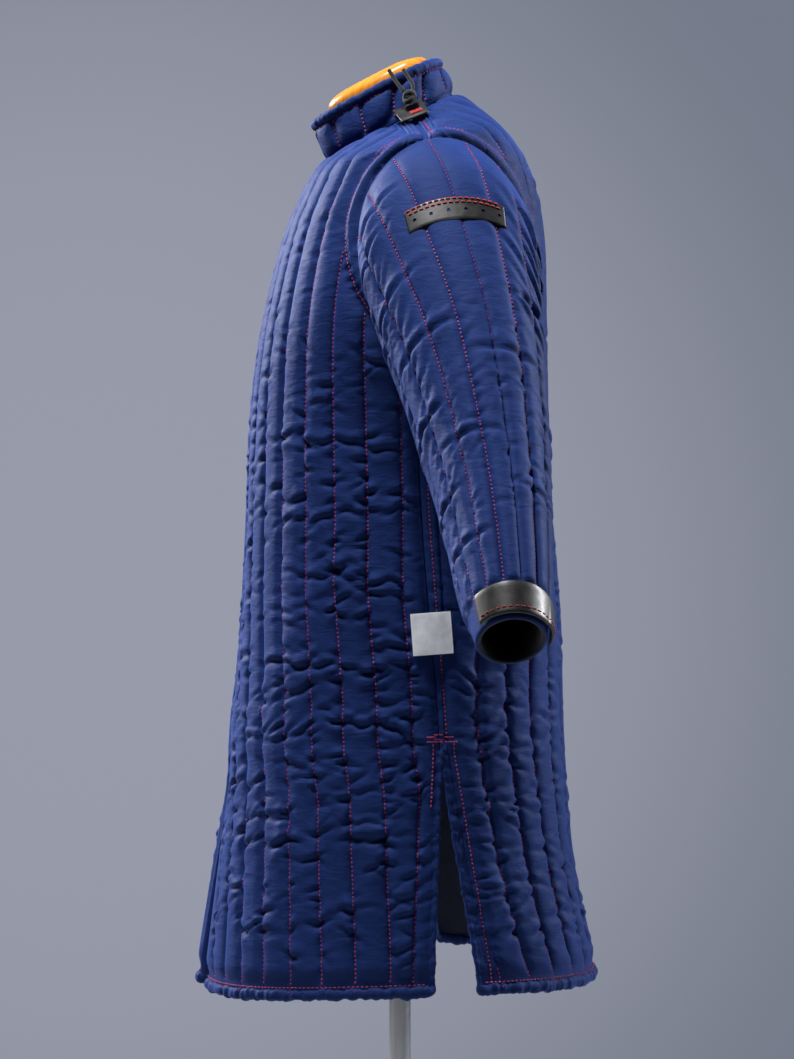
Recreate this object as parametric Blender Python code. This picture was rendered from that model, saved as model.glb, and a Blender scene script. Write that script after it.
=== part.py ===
"""Quilted gambeson with a stand collar and long sleeves, on a limbless dress form.

Metres, +Z up, the wearer's front towards -Y, the wearer's left towards +X.
The origin is on the floor, on the axis of the form's pole.

Every cloth piece is a padded wall between an outer and an inner surface. The
body is a stack of rings; each ring is a closed oval whose plane rises towards
the back near the neck. Quilting lines keep a constant distance along the ring
from the centre front and from the centre back.
"""

import math

import bpy
import bmesh
import numpy as np

# ---------------------------------------------------------------- sizes
GAP = 0.0004            # clearance between neighbouring pieces at a seam
CHANNEL = 0.040         # width of one quilted channel
WALL = 0.014            # padded body wall at the crown of a channel
CREASE = 0.0055         # how far a stitch line sinks below the crown
EDGE_SINK = 0.004       # the same at a bound or seamed edge
SLEEVE_WALL = 0.009
SLEEVE_CREASE = 0.0035
SLEEVE_CHANNELS = 14
COLLAR_WALL = 0.010
LEATHER = 0.0028
LEATHER_LIFT = 0.0012   # leather lies this far off the crown it covers
FORM_DEPTH = 0.0205     # dress form surface, below the cloth's outer surface
POLE_RADIUS = 0.0125
FOOT_RADIUS = 0.200
FOOT_HEIGHT = 0.012
FORM_BOTTOM = 0.800
CAP_SET_BACK = 0.0075   # the neck cap sits this far back in the collar
FRONT_SLIT_TOP = 0.735

# Body rings, hem to neck seam. Heights at the centre front and centre back,
# depth from the axis to the front and back, half width at the sides, the two
# exponents of the oval (across, along), the side seam's Y for the front and
# the back panel, and half the opening at the centre front.
RINGS = [
    # z_front z_back y_front y_back half_w  p_x   p_y  seam_f  seam_b  gap
    (0.4600, 0.4715, 0.2305, 0.2290, 0.2400, 2.30, 2.15, 0.0145, 0.0710, 0.018),
    (0.5200, 0.5270, 0.2225, 0.2135, 0.2340, 2.30, 2.15, 0.0165, 0.0620, 0.014),
    (0.6000, 0.6050, 0.2120, 0.1990, 0.2280, 2.30, 2.15, 0.0200, 0.0495, 0.009),
    (0.6800, 0.6830, 0.2010, 0.1920, 0.2215, 2.30, 2.15, 0.0235, 0.0365, 0.004),
    (0.7440, 0.7460, 0.1985, 0.1885, 0.2170, 2.30, 2.15, 0.0260, 0.0264, 0.0),
    (0.8000, 0.8000, 0.1920, 0.1870, 0.2145, 2.30, 2.15, 0.0220, 0.0220, 0.0),
    (0.8650, 0.8650, 0.1870, 0.1855, 0.2130, 2.30, 2.15, 0.0165, 0.0165, 0.0),
    (0.9300, 0.9300, 0.1830, 0.1810, 0.2100, 2.30, 2.15, 0.0110, 0.0110, 0.0),
    (1.0000, 1.0000, 0.1795, 0.1750, 0.2070, 2.30, 2.15, 0.0060, 0.0060, 0.0),
    (1.0700, 1.0700, 0.1770, 0.1720, 0.2060, 2.30, 2.15, 0.0025, 0.0025, 0.0),
    (1.1300, 1.1350, 0.1730, 0.1700, 0.2120, 2.30, 2.15, 0.0005, 0.0005, 0.0),
    (1.1900, 1.2000, 0.1655, 0.1680, 0.2210, 2.35, 2.15, 0.0000, 0.0000, 0.0),
    (1.2400, 1.2550, 0.1560, 0.1670, 0.2250, 2.40, 2.15, 0.0020, 0.0020, 0.0),
    (1.2900, 1.3100, 0.1440, 0.1653, 0.2250, 2.40, 2.15, 0.0040, 0.0040, 0.0),
    (1.3300, 1.3600, 0.1320, 0.1580, 0.2230, 2.40, 2.10, 0.0060, 0.0060, 0.0),
    (1.3600, 1.4000, 0.1190, 0.1455, 0.2200, 2.35, 2.00, 0.0080, 0.0080, 0.0),
    (1.3780, 1.4250, 0.1110, 0.1310, 0.2175, 2.30, 1.90, 0.0095, 0.0095, 0.0),
    (1.3870, 1.4400, 0.1060, 0.1190, 0.2100, 2.25, 1.85, 0.0100, 0.0100, 0.0),
    (1.3940, 1.4550, 0.1015, 0.1050, 0.1750, 2.20, 1.90, 0.0090, 0.0090, 0.0),
    (1.4000, 1.4680, 0.0975, 0.0920, 0.1400, 2.10, 1.95, 0.0070, 0.0070, 0.0),
    (1.4050, 1.4800, 0.0925, 0.0790, 0.1060, 2.05, 2.00, 0.0040, 0.0040, 0.0),
    (1.4080, 1.4890, 0.0880, 0.0640, 0.0800, 2.00, 2.00, 0.0000, 0.0000, 0.0),
]
SHOULDER_RING = 16      # first ring of the shoulder's slope
# ring indexes at which the panels have a row of points
BODY_LEVELS = (0, 1, 2, 3, 4, 5.5, 7, 8.5, 10, 11, 12.2, 13.4, 14.5, 15.5, 16.5, 17.2, 18, 19.5, 21)
HEM_LIFT = 0.011        # how much higher the hem hangs at the sides
HEM_LIFT_FROM = 0.620

# Collar, neck seam to top edge: the same columns without seams.
COLLAR = [
    # z_front z_back y_front y_back half_w
    (1.4088, 1.4898, 0.0875, 0.0635, 0.0795),
    (1.4260, 1.5045, 0.0965, 0.0560, 0.0775),
    (1.4430, 1.5195, 0.1015, 0.0500, 0.0760),
]
BINDING_HEIGHT = 0.0115
BINDING_WIDTH = 0.0125
HEM_HEIGHT = 0.0130
HEM_WIDTH = 0.0150

# Armhole: an oval seen from the side, cut through the body wall.
ARM_Y, ARM_Z = 0.031, 1.300
ARM_HALF_Y, ARM_HALF_Z = 0.097, 0.112
ARM_SEAM = 0.0005

# Sleeve stations, armhole to wrist: the sleeve's outer (upper) line and its
# inner (under) line in the X-Z plane, the middle in Y, half the fore-and-aft
# width, and the turn of the first quilting line from the outer line.
SLEEVE = [
    # out_x  out_z   in_x   in_z    mid_y  half_y  turn_deg
    (0.2130, 1.4120, 0.2220, 1.1880, 0.0310, 0.0970, -12.0),
    (0.2640, 1.3720, 0.2330, 1.1500, 0.0350, 0.0965, -6.0),
    (0.3060, 1.3000, 0.2440, 1.1050, 0.0430, 0.0870, 0.0),
    (0.3460, 1.2150, 0.2630, 1.0500, 0.0540, 0.0765, 6.0),
    (0.3860, 1.1250, 0.2930, 0.9850, 0.0640, 0.0660, 8.0),
    (0.4260, 1.0400, 0.3320, 0.9220, 0.0700, 0.0560, 10.0),
    (0.4640, 0.9650, 0.3790, 0.8700, 0.0725, 0.0490, 12.0),
    (0.5030, 0.8930, 0.4290, 0.8380, 0.0735, 0.0395, 13.0),
]
SLEEVE_ROWS = (0.45, 1.0, 1.55, 2.2, 3.0, 4.0, 5.2, 6.5, 7.0)

CUFF_SPAN = (6.50, 6.97)            # stations that the leather cuff covers
CUFF_TURN = (-56.0, 104.0)          # degrees round the wrist
STRIP_SPAN = (1.56, 1.87)
STRIP_TURN = (-38.0, 31.0)
STRIP_RISE = 0.08                   # its ends curve up by this part of a station
LABEL_SIZE = (0.044, 0.046)
LABEL_CENTRE = (0.0160, 0.8630)     # Y, Z
LABEL_THICK = 0.0012
PATCH_ALONG = (0.090, 0.122)        # X range along the shoulder seam
PATCH_TILT = 0.0085                 # its neck end stands off the seam by this much
PATCH_HALF = 0.015
KNOT_RADIUS = 0.0075
LACE_DIAMETER = 0.0045


# ---------------------------------------------------------------- helpers
def clear_scene():
    for obj in list(bpy.data.objects):
        bpy.data.objects.remove(obj, do_unlink=True)


def material(name, colour, roughness, metallic=0.0):
    mat = bpy.data.materials.new(name)
    mat.use_nodes = True
    bsdf = mat.node_tree.nodes["Principled BSDF"]
    bsdf.inputs["Base Color"].default_value = (*colour, 1.0)
    bsdf.inputs["Roughness"].default_value = roughness
    bsdf.inputs["Metallic"].default_value = metallic
    return mat


def cubic(table, t):
    """A row of the table at the fractional index t, smooth between rows."""
    rows = np.asarray(table, float)
    t = min(max(float(t), 0.0), len(rows) - 1.0)
    i = min(int(t), len(rows) - 2)
    f = t - i
    a = rows[max(i - 1, 0)]
    b = rows[i]
    c = rows[i + 1]
    d = rows[min(i + 2, len(rows) - 1)]
    m0 = (c - a) / 2.0
    m1 = (d - b) / 2.0
    return (
        (2 * f**3 - 3 * f**2 + 1) * b
        + (f**3 - 2 * f**2 + f) * m0
        + (3 * f**2 - 2 * f**3) * c
        + (f**3 - f**2) * m1
    )


def oval_point(row, angle):
    """Point of a ring; the angle runs from the centre front (0) over the left side to the centre back (pi)."""
    z_f, z_b, y_f, y_b, half_w = row[:5]
    p, q = (row[5], row[6]) if len(row) > 6 else (2.0, 2.0)
    c, s = math.cos(angle), math.sin(angle)
    x = half_w * math.copysign(abs(s) ** (2 / p), s)
    depth = abs(c) ** (2 / q)
    y = -y_f * depth if c > 0 else y_b * depth
    z = z_f + (z_b - z_f) * (y + y_f) / (y_f + y_b)
    z += HEM_LIFT * max(0.0, (HEM_LIFT_FROM - z) / 0.16) * s * s
    return np.array([x, y, z])


def ring_table(row, steps=360):
    """Angles, and the distance along the ring from the centre front, of a half ring."""
    angles = np.linspace(0.0, math.pi, steps + 1)
    pts = np.array([oval_point(row, a) for a in angles])
    run = np.concatenate([[0.0], np.cumsum(np.linalg.norm(np.diff(pts, axis=0), axis=1))])
    return angles, run, pts


def angle_at_y(row, y):
    y_f, y_b, q = row[2], row[3], row[6]
    if y <= 0:
        return math.acos(min(1.0, -y / y_f) ** (q / 2))
    return math.pi - math.acos(min(1.0, y / y_b) ** (q / 2))


def body_point(t, angle):
    return oval_point(cubic(RINGS, t), angle)


def body_normal(t, angle):
    """Outward normal of the body's outer surface."""
    da, dt = 0.02, 0.08
    across = body_point(t, angle + da) - body_point(t, angle - da)
    lo, hi = max(t - dt, 0.0), min(t + dt, len(RINGS) - 1.0)
    up = body_point(hi, angle) - body_point(lo, angle)
    normal = np.cross(across, up)
    return normal / np.linalg.norm(normal)


def ring_of_height(y, z):
    """Ring index whose surface passes through the given Y and Z on the left side."""
    lo, hi = 0.0, len(RINGS) - 1.0
    for _ in range(40):
        mid = (lo + hi) / 2
        row = cubic(RINGS, mid)
        height = row[0] + (row[1] - row[0]) * (y + row[2]) / (row[2] + row[3])
        if height < z:
            lo = mid
        else:
            hi = mid
    return (lo + hi) / 2


def body_side(y, z):
    """Point and normal of the body's left side at the given Y and Z."""
    t = ring_of_height(y, z)
    angle = angle_at_y(cubic(RINGS, t), y)
    return body_point(t, angle), body_normal(t, angle)


def wall_body(name, outer, inner, mat, wrap=False):
    """A closed body between two grids of points (rows x columns); wrap joins the last column to the first."""
    outer, inner = np.asarray(outer), np.asarray(inner)
    rows, cols = outer.shape[:2]
    bm = bmesh.new()
    vo = [[bm.verts.new(outer[r, c]) for c in range(cols)] for r in range(rows)]
    vi = [[bm.verts.new(inner[r, c]) for c in range(cols)] for r in range(rows)]
    spans = range(cols) if wrap else range(cols - 1)
    for r in range(rows - 1):
        for c in spans:
            d = (c + 1) % cols
            bm.faces.new((vo[r][c], vo[r][d], vo[r + 1][d], vo[r + 1][c]))
            bm.faces.new((vi[r][c], vi[r + 1][c], vi[r + 1][d], vi[r][d]))
    for c in spans:
        d = (c + 1) % cols
        bm.faces.new((vo[0][c], vi[0][c], vi[0][d], vo[0][d]))
        bm.faces.new((vo[-1][c], vo[-1][d], vi[-1][d], vi[-1][c]))
    if not wrap:
        for r in range(rows - 1):
            bm.faces.new((vo[r][0], vo[r + 1][0], vi[r + 1][0], vi[r][0]))
            bm.faces.new((vo[r][-1], vi[r][-1], vi[r + 1][-1], vo[r + 1][-1]))
    return finish_mesh(name, bm, mat)


def finish_mesh(name, bm, mat):
    bmesh.ops.triangulate(bm, faces=bm.faces)
    bmesh.ops.recalc_face_normals(bm, faces=bm.faces)
    mesh = bpy.data.meshes.new(name)
    bm.to_mesh(mesh)
    bm.free()
    mesh.materials.append(mat)
    mesh.shade_smooth()
    mesh.set_sharp_from_angle(angle=math.radians(50))
    obj = bpy.data.objects.new(name, mesh)
    bpy.context.scene.collection.objects.link(obj)
    return obj


def bar(name, sections, mat):
    """A closed bar through sections that all have the same number of points."""
    bm = bmesh.new()
    rings = [[bm.verts.new(p) for p in section] for section in sections]
    n = len(rings[0])
    for a, b in zip(rings, rings[1:]):
        for k in range(n):
            m = (k + 1) % n
            bm.faces.new((a[k], a[m], b[m], b[k]))
    bm.faces.new(list(reversed(rings[0])))
    bm.faces.new(rings[-1])
    return finish_mesh(name, bm, mat)


def mirrored(points):
    points = np.array(points, float)
    points[..., 0] *= -1.0
    return points


# ---------------------------------------------------------------- body panels
def column_plan(width):
    """Distances from the panel's edge of the columns, and how far each sinks below the crown."""
    reference = 7 * CHANNEL + 0.016
    lines = [k * CHANNEL / 2 for k in range(15)]
    if width < reference:
        lines = [x * width / reference for x in lines]
    lines += [(lines[-1] + width) / 2, width]
    sink = [CREASE if k % 2 == 0 else 0.0 for k in range(15)] + [0.0, EDGE_SINK]
    sink[0] = EDGE_SINK
    return lines, sink


def front_grids(sign):
    """Outer and inner point grids of one front panel; sign is +1 on the wearer's left."""
    outer, inner = [], []
    for r in BODY_LEVELS:
        row = cubic(RINGS, r)
        angles, run, _ = ring_table(row)
        start = max(row[9], GAP / 2)
        end = np.interp(angle_at_y(row, row[7]), angles, run) - GAP / 2
        lines, sink = column_plan(end - start)
        row_out, row_in = [], []
        for x, depth in zip(lines, sink):
            a = float(np.interp(start + x, run, angles))
            p, n = body_point(r, a), body_normal(r, a)
            if x == 0.0:
                n = np.array([0.0, n[1], n[2]]) / math.hypot(n[1], n[2])
                p[0] = max(p[0], GAP / 2)
            row_out.append(p - n * depth)
            row_in.append(p - n * WALL)
        outer.append(row_out)
        inner.append(row_in)
    outer, inner = np.array(outer), np.array(inner)
    if sign < 0:
        outer, inner = kick_forward(mirrored(outer)), kick_forward(mirrored(inner))
    return outer, inner


def kick_forward(grid):
    """The right front's skirt swings a little further forward beside the centre slit."""
    low = np.clip((FRONT_SLIT_TOP - grid[..., 2]) / 0.28, 0.0, 1.0)
    near = np.clip(1.0 - np.abs(grid[..., 0]) / 0.16, 0.0, 1.0)
    grid[..., 1] -= 0.0045 * low**1.3 * near
    return grid


def back_grids():
    outer, inner = [], []
    for r in BODY_LEVELS:
        row = cubic(RINGS, r)
        angles, run, _ = ring_table(row)
        total = run[-1]
        end = total - np.interp(angle_at_y(row, row[8]), angles, run) - GAP / 2
        lines, sink = column_plan(end)
        sink[0] = CREASE
        half_out, half_in = [], []
        for x, depth in zip(lines, sink):
            a = float(np.interp(total - x, run, angles))
            p, n = body_point(r, a), body_normal(r, a)
            if x == 0.0:
                p[0] = 0.0
                n = np.array([0.0, n[1], n[2]]) / math.hypot(n[1], n[2])
            half_out.append(p - n * depth)
            half_in.append(p - n * WALL)
        # from the left side seam to the right side seam, through the centre back
        outer.append(half_out[::-1] + list(mirrored(half_out[1:])))
        inner.append(half_in[::-1] + list(mirrored(half_in[1:])))
    return np.array(outer), np.array(inner)


def arm_cutter(sign):
    bm = bmesh.new()
    steps = 64
    ends = []
    for x in (0.10, 0.30):
        ends.append([
            bm.verts.new((
                sign * x,
                ARM_Y + ARM_HALF_Y * math.sin(2 * math.pi * k / steps),
                ARM_Z + ARM_HALF_Z * math.cos(2 * math.pi * k / steps),
            ))
            for k in range(steps)
        ])
    for k in range(steps):
        m = (k + 1) % steps
        bm.faces.new((ends[0][k], ends[0][m], ends[1][m], ends[1][k]))
    bm.faces.new(ends[0])
    bm.faces.new(ends[1])
    bmesh.ops.recalc_face_normals(bm, faces=bm.faces)
    mesh = bpy.data.meshes.new("arm_cutter")
    bm.to_mesh(mesh)
    bm.free()
    obj = bpy.data.objects.new("cutter_left" if sign > 0 else "cutter_right", mesh)
    bpy.context.scene.collection.objects.link(obj)
    obj.hide_render = True
    obj.display_type = "WIRE"
    return obj


def cut_with(obj, cutter):
    mod = obj.modifiers.new("armhole_" + cutter.name, "BOOLEAN")
    mod.operation = "DIFFERENCE"
    mod.solver = "EXACT"
    mod.object = cutter


def hem_bar(name, outer_row, inner_row, mat):
    """The rolled binding below the bottom edge of a panel."""
    sections = []
    for o, i in zip(outer_row, inner_row):
        o, i = np.array(o), np.array(i)
        mid = (o + i) / 2
        out = (o - i) / np.linalg.norm(o - i)
        out[2] = 0.0
        out /= np.linalg.norm(out)
        top = min(o[2], i[2]) - 0.0006
        centre = np.array([mid[0], mid[1], top - HEM_HEIGHT / 2])
        sections.append([
            centre + out * HEM_WIDTH / 2 * c + np.array([0, 0, HEM_HEIGHT / 2 * s])
            for c, s in ((1, 0.1), (0.6, -1), (-0.6, -1), (-1, 0.1), (-0.7, 1), (0.7, 1))
        ])
    return bar(name, sections, mat)


# ---------------------------------------------------------------- sleeves
def sleeve_frame(station):
    ox, oz, ix, iz, my, half_y, turn = cubic(SLEEVE, station)
    centre = np.array([(ox + ix) / 2, my, (oz + iz) / 2])
    up = np.array([ox - ix, 0.0, oz - iz])
    half = np.linalg.norm(up) / 2
    return centre, up / np.linalg.norm(up), half, half_y, turn


def sleeve_ring_point(station, turn):
    """Crown point and outward normal; turn is in degrees from the outer line, + towards the back."""
    centre, up, half, half_y, _ = sleeve_frame(station)
    c, s = math.cos(math.radians(turn)), math.sin(math.radians(turn))
    aft = np.array([0.0, 1.0, 0.0])
    p = centre + up * half * c + aft * half_y * s
    n = up * half_y * c + aft * half * s
    return p, n / np.linalg.norm(n)


def armhole_point(turn, lift):
    """Point of the sleeve's head on the armhole oval, lift metres outside the body's surface along X."""
    c, s = math.cos(math.radians(turn)), math.sin(math.radians(turn))
    y = ARM_Y + (ARM_HALF_Y - ARM_SEAM) * s
    z = ARM_Z + (ARM_HALF_Z - ARM_SEAM) * c
    base, _ = body_side(y, z)
    p = np.array([base[0] + lift, y, z])
    n = np.array([0.0, ARM_HALF_Z * s, ARM_HALF_Y * c])
    return p, n / np.linalg.norm(n)


def sleeve_point(station, turn):
    """Crown point of the sleeve; near the armhole it follows the body's surface."""
    p, n = sleeve_ring_point(station, turn)
    if station < 1.0:
        f = station
        blend = 1.0 - f * f * (3 - 2 * f)
        head, head_n = armhole_point(turn, 0.004)
        start, _ = sleeve_ring_point(0.0, turn)
        p = p + (head - start) * blend
        n = n * (1 - blend) + head_n * blend
        n /= np.linalg.norm(n)
    return p, n


def sleeve_grids():
    outer, inner = [], []
    columns = 2 * SLEEVE_CHANNELS
    rows = [("head", -0.010), ("head", 0.004)] + [("station", v) for v in SLEEVE_ROWS]
    for kind, v in rows:
        row_out, row_in = [], []
        first = sleeve_frame(v if kind == "station" else 0.0)[4]
        for k in range(columns):
            turn = first + 360.0 * k / columns
            p, n = armhole_point(turn, v) if kind == "head" else sleeve_point(v, turn)
            sink = SLEEVE_CREASE if k % 2 == 0 else 0.0
            row_out.append(p - n * sink)
            row_in.append(p - n * SLEEVE_WALL)
        outer.append(row_out)
        inner.append(row_in)
    return np.array(outer), np.array(inner)


def leather_on_sleeve(span, turns, columns, rows, rise=0.0):
    outer, inner = [], []
    for r in range(rows):
        station = span[0] + (span[1] - span[0]) * r / (rows - 1)
        row_out, row_in = [], []
        for c in range(columns):
            turn = turns[0] + (turns[1] - turns[0]) * c / (columns - 1)
            p, n = sleeve_point(station - rise * (2.0 * c / (columns - 1) - 1.0) ** 2, turn)
            row_in.append(p + n * LEATHER_LIFT)
            row_out.append(p + n * (LEATHER_LIFT + LEATHER))
        outer.append(row_out)
        inner.append(row_in)
    return np.array(outer), np.array(inner)


# ---------------------------------------------------------------- collar
def collar_point(row, angle):
    return oval_point(row, angle)


def collar_axis():
    """Direction in which the collar stands: square to the neck seam's plane."""
    z_f, z_b, y_f, y_b = COLLAR[0][:4]
    slope = math.atan2(z_b - z_f, y_f + y_b)
    return np.array([0.0, -math.sin(slope), math.cos(slope)])


def collar_normal(row, angle):
    p0 = oval_point(row, angle - 0.02)
    p1 = oval_point(row, angle + 0.02)
    n = np.cross(p1 - p0, collar_axis())
    return n / np.linalg.norm(n)


def collar_angles(count, edge):
    """Angles from the left front edge round the back to the right front edge."""
    lo = math.asin(edge / COLLAR[0][4])
    return np.linspace(lo, 2 * math.pi - lo, count)


def collar_grids(count=25):
    outer, inner = [], []
    for row in COLLAR:
        row_out, row_in = [], []
        for k, a in enumerate(collar_angles(count, 0.0006)):
            p, n = collar_point(row, a), collar_normal(row, a)
            if k in (0, count - 1):
                n = np.array([0.0, n[1], n[2]]) / math.hypot(n[1], n[2])
            sink = 0.0025 if k % 4 == 0 else 0.0
            row_out.append(p - n * sink)
            row_in.append(p - n * COLLAR_WALL)
        outer.append(row_out)
        inner.append(row_in)
    return np.array(outer), np.array(inner)


def collar_binding_sections(count=25):
    axis = collar_axis()
    row = COLLAR[-1]
    sections = []
    for k, a in enumerate(collar_angles(count, 0.0006)):
        p, n = collar_point(row, a), collar_normal(row, a)
        if k in (0, count - 1):
            n = np.array([0.0, n[1], n[2]]) / math.hypot(n[1], n[2])
        centre = p - n * COLLAR_WALL / 2 + axis * (BINDING_HEIGHT / 2 + GAP)
        sections.append([
            centre + n * BINDING_WIDTH / 2 * c + axis * BINDING_HEIGHT / 2 * s
            for c, s in ((1, 0.0), (0.55, 1), (-0.55, 1), (-1, 0.0), (-0.75, -1), (0.75, -1))
        ])
    return sections


# ---------------------------------------------------------------- dress form
def lathe_like(name, rings, mat):
    """A closed body through whole rings, bottom to top, with flat ends."""
    bm = bmesh.new()
    loops = [[bm.verts.new(p) for p in ring] for ring in rings]
    n = len(loops[0])
    for a, b in zip(loops, loops[1:]):
        for k in range(n):
            m = (k + 1) % n
            bm.faces.new((a[k], a[m], b[m], b[k]))
    bm.faces.new(list(reversed(loops[0])))
    bm.faces.new(loops[-1])
    return finish_mesh(name, bm, mat)


def form_rings(count=28):
    """The torso block follows the coat's inside and goes on up as the neck."""
    rings = []
    first = ring_of_height(0.0, FORM_BOTTOM)
    levels = [first, first + 0.06] + [k for k in BODY_LEVELS if k > first + 1.2]
    for j, t in enumerate(levels):
        ring = []
        for k in range(count):
            a = 2 * math.pi * k / count
            p, n = body_point(t, a), body_normal(t, a)
            depth = FORM_DEPTH + (0.010 if j == 0 else 0.0)
            q = p - n * depth
            if j == 0:
                q[2] = FORM_BOTTOM
            elif j == 1:
                q[2] = FORM_BOTTOM + 0.010
            ring.append(q)
        rings.append(ring)
    axis = collar_axis()
    for row, depth in ((COLLAR[0], 0.0185), (COLLAR[1], 0.0195), (COLLAR[2], 0.0200)):
        ring = []
        for k in range(count):
            a = 2 * math.pi * k / count
            p = collar_point(row, a)
            n = collar_normal(row, a)
            ring.append(p - n * depth + axis * 0.002)
        rings.append(ring)
    return rings


def cap_rings(count=32):
    """Oval wooden cap on the neck, in a plane that leans forward, with a domed top."""
    axis = collar_axis()
    row = COLLAR[2]
    top = [collar_point(row, 2 * math.pi * k / count) for k in range(count)]
    normals = [collar_normal(row, 2 * math.pi * k / count) for k in range(count)]
    middle = sum(top) / count
    slope = np.array([0.0, axis[2], -axis[1]])
    back = slope * CAP_SET_BACK
    rings = []
    # height over the neck, and how far the edge is drawn in from the collar
    for lift, inset in ((0.0024, 0.0235), (0.0055, 0.0210), (0.0125, 0.0205),
                        (0.0178, 0.0220), (0.0220, 0.0290), (0.0250, 0.0410)):
        rings.append([p - n * inset + axis * lift + back for p, n in zip(top, normals)])
    rings.append([middle + (p - middle) * 0.12 + axis * 0.0262 + back for p in top])
    return rings


def disc_rings(profile, count):
    return [
        [np.array([r * math.cos(2 * math.pi * k / count), r * math.sin(2 * math.pi * k / count), z]) for k in range(count)]
        for r, z in profile
    ]


# ---------------------------------------------------------------- small pieces
def label_grids():
    outer, inner = [], []
    for j in range(4):
        z = LABEL_CENTRE[1] + LABEL_SIZE[1] * (j / 3 - 0.5)
        row_out, row_in = [], []
        for k in range(4):
            y = LABEL_CENTRE[0] + LABEL_SIZE[0] * (k / 3 - 0.5)
            p, n = body_side(y, z)
            row_in.append(p + n * 0.0010)
            row_out.append(p + n * (0.0010 + LABEL_THICK))
        outer.append(row_out)
        inner.append(row_in)
    return np.array(outer), np.array(inner)


def seam_station(x):
    """Ring index at which the shoulder seam is at the given X."""
    lo, hi = float(SHOULDER_RING), len(RINGS) - 1.0
    for _ in range(40):
        mid = (lo + hi) / 2
        row = cubic(RINGS, mid)
        if oval_point(row, angle_at_y(row, row[7]))[0] > x:
            lo = mid
        else:
            hi = mid
    return (lo + hi) / 2


def patch_grids():
    outer, inner = [], []
    for j in range(4):
        x = PATCH_ALONG[0] + (PATCH_ALONG[1] - PATCH_ALONG[0]) * j / 3
        t = seam_station(x)
        row = cubic(RINGS, t)
        row_out, row_in = [], []
        for k in range(4):
            y = row[7] + 0.002 + PATCH_HALF * (2 * k / 3 - 1)
            a = angle_at_y(row, y)
            p, n = body_point(t, a), body_normal(t, a)
            lift = 0.0012 + PATCH_TILT * (1 - j / 3)
            row_in.append(p + n * lift)
            row_out.append(p + n * (lift + LEATHER))
        outer.append(row_out)
        inner.append(row_in)
    return np.array(outer), np.array(inner)


def knot_centre():
    t = seam_station(0.102)
    row = cubic(RINGS, t)
    a = angle_at_y(row, row[7] + 0.005)
    return body_point(t, a) + body_normal(t, a) * (0.0100 + LEATHER + KNOT_RADIUS + GAP)


def knot_body(name, centre, mat):
    rings = []
    for lat in (-1.0, -0.6, 0.0, 0.6, 1.0):
        r = KNOT_RADIUS * (math.sqrt(1 - 0.96 * lat * lat))
        rings.append([
            centre + np.array([r * math.cos(2 * math.pi * k / 12), 1.15 * r * math.sin(2 * math.pi * k / 12), KNOT_RADIUS * lat])
            for k in range(12)
        ])
    return lathe_like(name, rings, mat)


def tail_route(side):
    """Centre line of a lace tail, from the knot up against the collar; side -1 is the front tail."""
    knot = knot_centre()
    # offsets from the knot's centre for the front and the back tail
    ends = {
        -1: ((0.0, -0.0065, 0.0070), (-0.004, -0.0115, 0.0140), (-0.009, -0.0165, 0.0225), (-0.0125, -0.0225, 0.0330)),
        1: ((0.0, 0.0040, 0.0092), (-0.003, 0.0035, 0.0160), (-0.008, -0.0005, 0.0240), (-0.0118, -0.0060, 0.0335)),
    }[side]
    points = [knot + np.array(e) for e in ends]
    return [cubic(points, (len(points) - 1) * k / 9) for k in range(10)]


def tube(name, points, radius, mat):
    curve = bpy.data.curves.new(name, "CURVE")
    curve.dimensions = "3D"
    curve.bevel_depth = radius
    curve.bevel_resolution = 2
    curve.use_fill_caps = True
    spline = curve.splines.new("POLY")
    spline.points.add(len(points) - 1)
    for sp, p in zip(spline.points, points):
        sp.co = (*p, 1.0)
    curve.materials.append(mat)
    obj = bpy.data.objects.new(name, curve)
    bpy.context.scene.collection.objects.link(obj)
    return obj


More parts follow.
